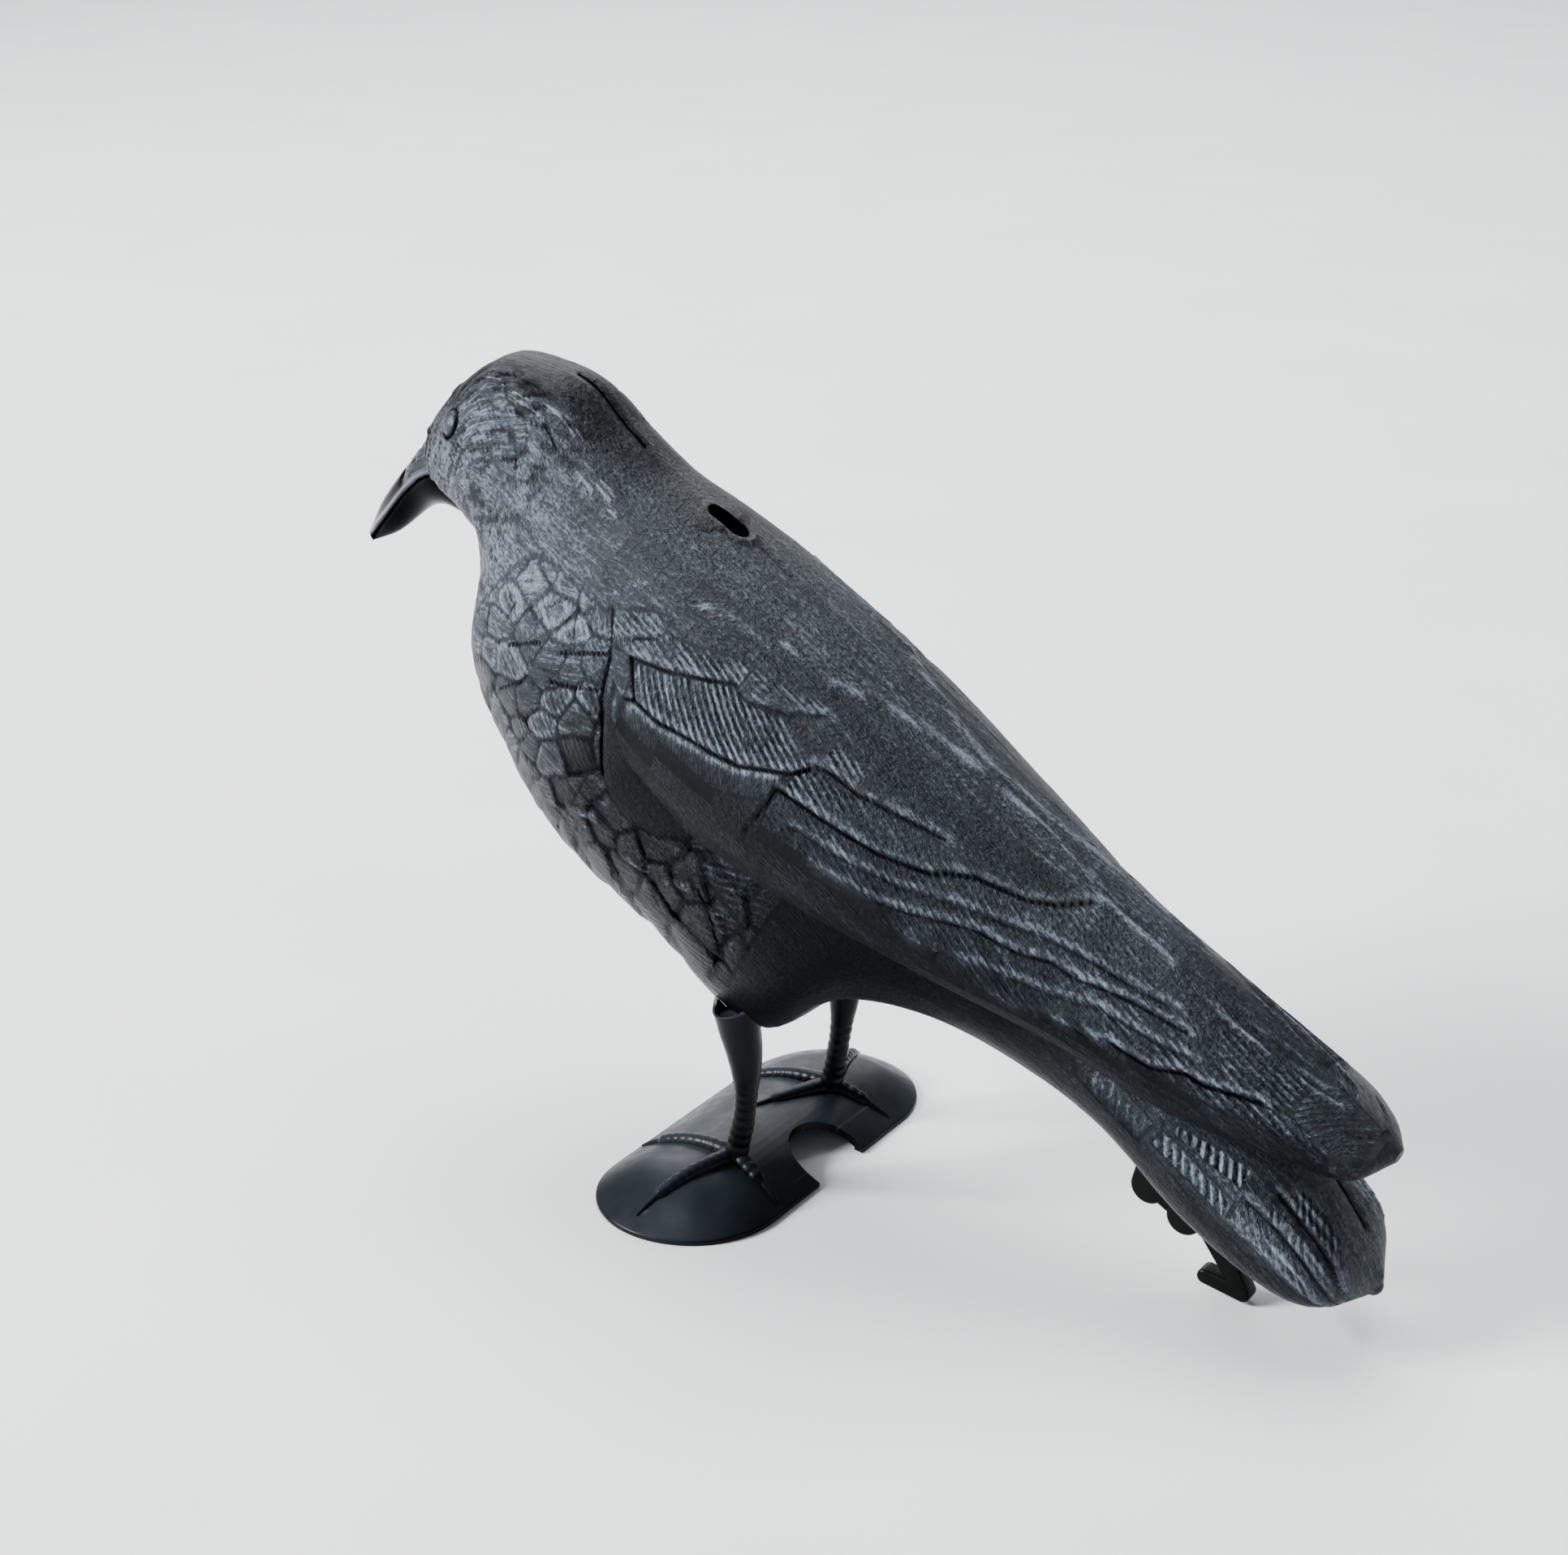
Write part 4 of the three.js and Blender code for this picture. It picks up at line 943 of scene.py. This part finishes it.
def injection_moulded_polypropylene(name, dark, light, roughness):
    """Injection-moulded black polypropylene: flow marks 50 mm apart, fine scuffs, really hairlines and
    drawn 4 mm apart, rubbed corners, and paler faces that look up, partly a dusty film and partly painted
    light from above."""
    material, tree, shader, place = new_material(name)
    shader.inputs["IOR"].default_value = 1.49
    shader.inputs["Specular IOR Level"].default_value = 0.09
    flow = add(tree, NOISE, {"Scale": 20.0, "Detail": 2.0, "Distortion": 0.4}, {"Vector": place})
    faces = add(tree, "ShaderNodeNewGeometry").outputs
    up = add(tree, "ShaderNodeSeparateXYZ", links={0: faces["Normal"]}).outputs["Z"]
    # Paler faces that look up: a dusty film and painted light from above
    dust_and_top_light = add(tree, RANGE, {"From Min": 0.5, "From Max": 1.0, "To Max": 0.28}, {"Value": up})
    rubbed = add(tree, RANGE, {"From Min": 0.56, "From Max": 0.7, "To Max": 0.5},
                 {"Value": faces["Pointiness"]})
    shade = flow.outputs["Fac"]
    for film in (rubbed, dust_and_top_light):
        shade = add(tree, MATH, {"operation": "ADD"}, {0: shade, 1: film.outputs["Result"]}).outputs[0]
    colour = add(tree, "ShaderNodeValToRGB", {"stops": [(0.5, dark), (1.0, light)]}, {"Fac": shade})
    scuff = add(tree, NOISE, {"Scale": 240.0, "Detail": 5.0}, {"Vector": place}).outputs["Fac"]
    ends = {"From Min": 0.35, "From Max": 0.7, "To Min": roughness, "To Max": roughness + 0.14}
    rough = add(tree, RANGE, ends, {"Value": scuff})
    bump = add(tree, "ShaderNodeBump", {"Strength": 0.15, "Distance": 0.0001}, {"Height": scuff})
    tree.links.new(colour.outputs["Color"], shader.inputs["Base Color"])
    tree.links.new(rough.outputs["Result"], shader.inputs["Roughness"])
    tree.links.new(bump.outputs["Normal"], shader.inputs["Normal"])
    return material


def slot_cutter():
    """The slot's outline, a bar with half-round ends, carried straight down into the back."""
    r, straight = SLOT["width"] / 2, SLOT["length"] / 2 - SLOT["width"] / 2
    a = np.linspace(0, 2 * np.pi, 32, endpoint=False)
    y = r * np.sin(a) + straight * np.sign(np.sin(a + 1e-6)) - SLOT["forward"]
    outline = np.stack([r * np.cos(a), y, 0 * a], -1)
    levels = SLOT["top"] + np.array([-SLOT["depth"], 2 * SLOT["depth"]])
    return mesh_object("slot_cutter", outline + UPWARDS * levels[:, None, None])


def belly_cutter():
    """The trunk grown by the play that the legs and the clip stand off it."""
    s, turn, _, _ = chart(trunk, np.linspace(0, trunk.length, 260), np.linspace(0, 1, 70))
    rings, _ = both_halves(trunk, s, turn, lambda side: (PLAY + 0 * s, 0 * s))
    return mesh_object("belly_cutter", rings)


# Bird
def build_bird():
    """Trunk, wings, bill, eyes and tail nub joined into one closed moulding, with the slot cut."""
    body = mesh_object("body", *trunk_skin())
    parts = [mesh_object("folded_wings", *wing_skin()), mesh_object("bill", *beak_skin())]
    for side in (1, -1):
        place = trunk.point(EYE["s"], EYE["turn"]) * [side, 1, 1]
        normal = trunk.normal(np.array(EYE["s"]), np.array(EYE["turn"])) * [side, 1, 1]
        rings = ball(place - EYE["sunk"] * normal, normal, EYE["radius"], EYE["flat"])
        sheets = even_sheets(rings, EYE["polish"], EYE["pale"])
        # Painted shade in a ring round the ball's edge, where it meets the skin
        off_axis = np.linalg.norm(np.cross(rings - place, normal), axis=-1)
        sheets["reach"] = EYE["radius"] + 0.1 - off_axis
        parts.append(mesh_object("eye", rings, sheets))
    rings = ball(TAIL_NUB["place"], (0, 1, 0), TAIL_NUB["radius"], 1.0)
    parts.append(mesh_object("tail_nub", rings, even_sheets(rings)))
    bird = combine("crow_body_moulding", body, parts, [slot_cutter()])
    finish_piece(bird, "crow_body", blow_moulded_polyethylene(), 60)


# Foot plate, legs and toes, in mm: the plate's straight part and half width, heights of its edge and dome,
# wall and rim, the cut-out at its rear, the widths of a leg at the shin and the thigh, the shallow cup at
# its top as rings of (radius, height), ring scales' spacing. Places are (outwards, back) or with the height
PLATE = dict(straight=37.5, reach=29.5, edge=1.6, rise=10.0, wall=2.2, rim=3.4)
NOTCH = dict(back=25.5, radius=13.0)
ANKLE = (27.0, 8.0)
KNEE_BACK = 12.65
LEG_TOP = (31.0, 11.3, 62.0)
SHIN, THIGH = 6.6, 13.8
CUP = dict(place=(32.0, 11.3, 64.5), rings=((4.3, -2.5), (4.9, -2.2), (5.3, -1.5), (5.4, 2.5)))
TOE_TIPS = [(25, -27.9), (62.5, -3), (1, -5), (32, 27.1)]
SCUTE = 2.9


def plate_top(x, y):
    """The plate's skin over a point of the ground: edge + rise * (1 - k^2), k the share of the way out."""
    k = np.hypot(np.maximum(np.abs(x) - PLATE["straight"], 0), y) / PLATE["reach"]
    return PLATE["edge"] + PLATE["rise"] * (1 - np.minimum(k, 1) ** 2)


def plate_rings(profile):
    """Rings of the plate's long outline, one for each (share of the way out, height) of the profile."""
    a = np.linspace(-np.pi / 2, np.pi / 2, 49)
    x = np.concatenate([np.cos(a), -np.cos(a)])
    y = np.concatenate([np.sin(a), -np.sin(a)])
    ends = np.repeat([1.0, -1.0], len(a)) * PLATE["straight"]
    out, up = np.array(profile)[:, 0:1] * PLATE["reach"], np.array(profile)[:, 1:2]
    return np.stack([ends + out * x, out * y, up + 0 * x], -1)


def dome(profile, inset, edge, rise):
    """A closed dome: the given lower profile, then edge + rise * (1 - k^2) up to the ridge."""
    k = np.cos(np.linspace(0.12, 1.54, 16))
    share = 1 - inset / PLATE["reach"]
    return plate_rings(profile + [(share * v, edge + rise * (1 - v * v)) for v in k])


def leg(side):
    """A leg: a parabola through ankle, knee bow and belly, scaly below and full at the thigh. Rings of
    scales swell it by a rounded saw, |sin|^0.6, strongest at the front. Its rim is drawn up towards the
    belly on its inner side."""
    t = np.linspace(0, 1, 84)
    row = t[:, None]
    # The shin begins 2 mm above the plate's skin, and its bar 3 mm lower, inside the plate
    foot = plate_top(*ANKLE) + 2
    low = np.array([side * ANKLE[0], ANKLE[1], foot - 3])
    mid = np.array([side * ANKLE[0], KNEE_BACK, (foot + LEG_TOP[2]) / 2])
    top = np.array([side, 1, 1]) * LEG_TOP
    path = low * (1 - row) * (1 - 2 * row) + mid * 4 * row * (1 - row) + top * row * (2 * row - 1)
    fullness = [1.25, 1, 1.06, 0.98, 1.08, 1.35, 1.62, 1.85, 2.02, 2.2]
    growth = (THIGH / SHIN - 1) / (fullness[-1] - 1)
    radius = SHIN / 2 * (1 + (np.interp(t, np.linspace(0, 1, len(fullness)), fullness) - 1) * growth)
    spin = np.linspace(0, 2 * np.pi, 28, endpoint=False)
    front = 0.45 + 0.55 * np.cos(spin + np.pi / 2) ** 2
    scaly = 1 - ease(0.42, 0.56, t)
    saw = np.abs(np.sin(np.pi * t * np.linalg.norm(top - low) / SCUTE)) ** 0.6 * scaly
    rings = tube(path, radius[:, None] + 0.42 * ((saw - 0.6) * scaly)[:, None] * front[None], len(spin))
    inner = np.maximum(side * (path[:, None, 0] - rings[..., 0]) + 3.0, 0)
    rings[..., 2] += (2.5 + inner) * ease(0.85, 1, row)
    return rings


def toe(side, tip):
    """A toe along the dome from the ankle to its claw: a saw of ring scales, then a thin smooth claw."""
    start, end = np.array([side * ANKLE[0], ANKLE[1]]), np.array([side * tip[0], float(tip[1])])
    length = np.linalg.norm(end - start)
    t = np.linspace(0, 1, max(int(length / 0.55), 30))
    ground = start + (end - start) * t[:, None]
    # The claw is the last 9 mm, and is thinnest at its tip
    claw = ease(1 - 9 / length, 1 - 6.5 / length, t)
    radius = (2.9 - 1.2 * t) * (1 - claw) + claw * np.interp(t, [0.74, 0.9, 1], [1.1, 0.9, 0.5])
    saw = np.abs(np.sin(np.pi * t * length / SCUTE)) ** 0.6 - 0.6
    lift = 1.2 * (1 - t) - 0.4 + 0.35 * claw
    path = np.column_stack([ground, plate_top(ground[:, 0], ground[:, 1]) + lift])
    return tube(path, radius + 0.24 * saw * (1 - claw) * ease(0, 0.1, t), 18)


def build_base():
    """The hollow oval plate with its notch, toes and legs in one moulding, the belly's shape taken off."""
    rim = [(0.98, 0.0), (0.992, 0.12), (1.0, 0.5), (1.0, 1.15), (0.9985, 1.45)]
    plate = mesh_object("plate", dome(rim, 0.1, PLATE["edge"], PLATE["rise"]))
    parts = []
    for side in (1, -1):
        parts.append(mesh_object("leg", leg(side)))
        parts += [mesh_object("toe", toe(side, tip)) for tip in TOE_TIPS]
    inner = 1 - PLATE["rim"] / PLATE["reach"]
    hollow = dome([(inner, -1.0), (inner, 0.9)], PLATE["rim"], PLATE["edge"] - 0.6,
                  PLATE["rise"] - PLATE["wall"] + 0.6)
    spin = np.linspace(0, 2 * np.pi, 72, endpoint=False)
    circle = np.stack([np.cos(spin), np.sin(spin), 0 * spin], -1)
    notch = [0, NOTCH["back"], 0] + NOTCH["radius"] * circle + UPWARDS * np.array([-20, 40])[:, None, None]
    cuts = [mesh_object("hollow", hollow), mesh_object("notch", notch)]
    radii, heights = np.array(CUP["rings"]).T[..., None, None]
    for side in (1, -1):
        cup = np.array([side, 1, 1]) * CUP["place"] + circle[::2] * radii + UPWARDS * heights
        cuts.append(mesh_object("cup", cup))
    base = combine("legs_and_foot_plate", plate, parts, cuts + [belly_cutter()])
    moulding = injection_moulded_polypropylene("injection_moulded_polypropylene", "#020304", "#272d34", 0.28)
    finish_piece(base, "legs_and_base", moulding, 40)


# Clip: start and end of each bar as (forward, up), its thickness at both and its width, all in mm. Two
# round bosses rooted in the tail, the web between them, the arm down from the second and the finger
CLIP_BARS = [
    ((-134, 29), (-138, 45), 11, 11, 7),
    ((-145.5, 22.5), (-151.5, 38.5), 11, 11, 7),
    ((-134, 29), (-145.5, 22.5), 5.6, 5.6, 6),
    ((-152, 23.5), (-164.3, 3.3), 8.6, 4.6, 6),
    ((-164.3, 3.3), (-152.5, 5.4), 4.6, 4.6, 6),
]
# The quarter round of its edges in mm
CLIP_ROUNDING = 0.9


def clip_bar(start, end, thick, thick_end, width):
    """A flat bar of the clip, round at both ends: its outline stands in the middle plane and is carried
    across X, set in at both sides by a quarter round, rounding * (1 - sin, 1 - cos)."""
    a, b = np.array([-start[0], start[1]]), np.array([-end[0], end[1]])
    lean = np.arctan2(*(b - a)[::-1])
    turn = np.linspace(np.pi / 2, 3 * np.pi / 2, 17)
    around = np.radians(np.array([0, 30, 60, 90]))
    inset, run = CLIP_ROUNDING * (1 - np.sin(around)), CLIP_ROUNDING * (1 - np.cos(around))
    across = np.concatenate([run - width / 2, width / 2 - run[::-1]])
    rings = []
    for x, cut in zip(across, np.concatenate([inset, inset[::-1]])):
        near_end = a + (thick / 2 - cut) * np.stack([np.cos(lean + turn), np.sin(lean + turn)], -1)
        far_end = b - (thick_end / 2 - cut) * np.stack([np.cos(lean + turn), np.sin(lean + turn)], -1)
        flat = np.concatenate([near_end, far_end])
        rings.append(np.column_stack([np.full(len(flat), x), flat]))
    return mesh_object("clip_bar", np.stack(rings))


def build_clip():
    """The clip's bars joined into one moulding, in a deeper black, the tail's shape taken off."""
    bars = [clip_bar(*bar) for bar in CLIP_BARS]
    clip = combine("hanging_clip", bars[0], bars[1:], [belly_cutter()])
    name = "injection_moulded_polypropylene_clip"
    moulding = injection_moulded_polypropylene(name, "#010202", "#070808", 0.3)
    finish_piece(clip, "tail_hook", moulding, 35)


build_bird()
build_base()
build_clip()

# Camera at the photograph's viewing angle: where it stands, in mm, where it looks, and its focal length in
# pixels over the frame's width in pixels
CAMERA_PLACE = (623.266, 417.663 + SHIFT, 420.354)
LOOK = (-0.77733236, -0.51052264, -0.36758813)
FOCAL = 3345.0
FRAME_WIDTH = 1932.0
SENSOR = 36.0
look = Vector(LOOK).normalized()
across = look.cross(Vector((0, 0, 1))).normalized()
camera_data = bpy.data.cameras.new("camera")
camera_data.sensor_fit = "HORIZONTAL"
camera_data.sensor_width = SENSOR
camera_data.lens = FOCAL / FRAME_WIDTH * SENSOR
camera_data.clip_start = 0.01
camera = bpy.data.objects.new("camera", camera_data)
turned = Matrix((across, across.cross(look), -look)).transposed().to_4x4()
turned.translation = Vector(CAMERA_PLACE) * MM
camera.matrix_world = turned
bpy.context.scene.collection.objects.link(camera)
bpy.context.scene.camera = camera

# Plain pale floor: a board painted matt white, with hardly any mottle
FLOOR_HALF = 12.0
corners = [(x * FLOOR_HALF, y * FLOOR_HALF, 0) for x, y in ((-1, -1), (1, -1), (1, 1), (-1, 1))]
floor_mesh = bpy.data.meshes.new("floor")
floor_mesh.from_pydata(corners, [], [(0, 1, 2, 3)])
floor = bpy.data.objects.new("floor", floor_mesh)
bpy.context.scene.collection.objects.link(floor)
floor_material, tree, shader, place = new_material("matt_painted_board")
speckle = add(tree, NOISE, {"Scale": 8.0}, {"Vector": place}).outputs["Fac"]
paint = add(tree, "ShaderNodeValToRGB", {"stops": [(0.3, "#d4d6d8"), (0.7, "#d9dbdc")]}, {"Fac": speckle})
tree.links.new(paint.outputs["Color"], shader.inputs["Base Color"])
shader.inputs["Roughness"].default_value = 0.8
floor_mesh.materials.append(floor_material)


def softbox(name, place, target, size, power):
    """A square studio light at place, turned to target, both in metres."""
    data = bpy.data.lights.new(name, "AREA")
    data.shape = "SQUARE"
    data.size = size
    data.energy = power
    light = bpy.data.objects.new(name, data)
    light.location = place
    light.rotation_euler = (Vector(target) - Vector(place)).to_track_quat("-Z", "Y").to_euler()
    bpy.context.scene.collection.objects.link(light)


# Studio: a broad light overhead, a weak one from the far side, the key from the camera's side, pale sky
softbox("overhead", (-1.0, -0.7, 3.4), (-0.4, -0.3, 0), 2.4, 230)
softbox("far_side", (-3.2, -2.1, 2.0), (0, 0, 0.1), 2.6, 80)
softbox("key", (2.0, -2.3, 1.7), (0, -0.03, 0.14), 1.2, 380)
world = bpy.data.worlds.new("studio")
world.use_nodes = True
sky = world.node_tree.nodes["Background"]
sky.inputs["Color"].default_value = linear("#eef3fb")
sky.inputs["Strength"].default_value = 0.4
bpy.context.scene.world = world
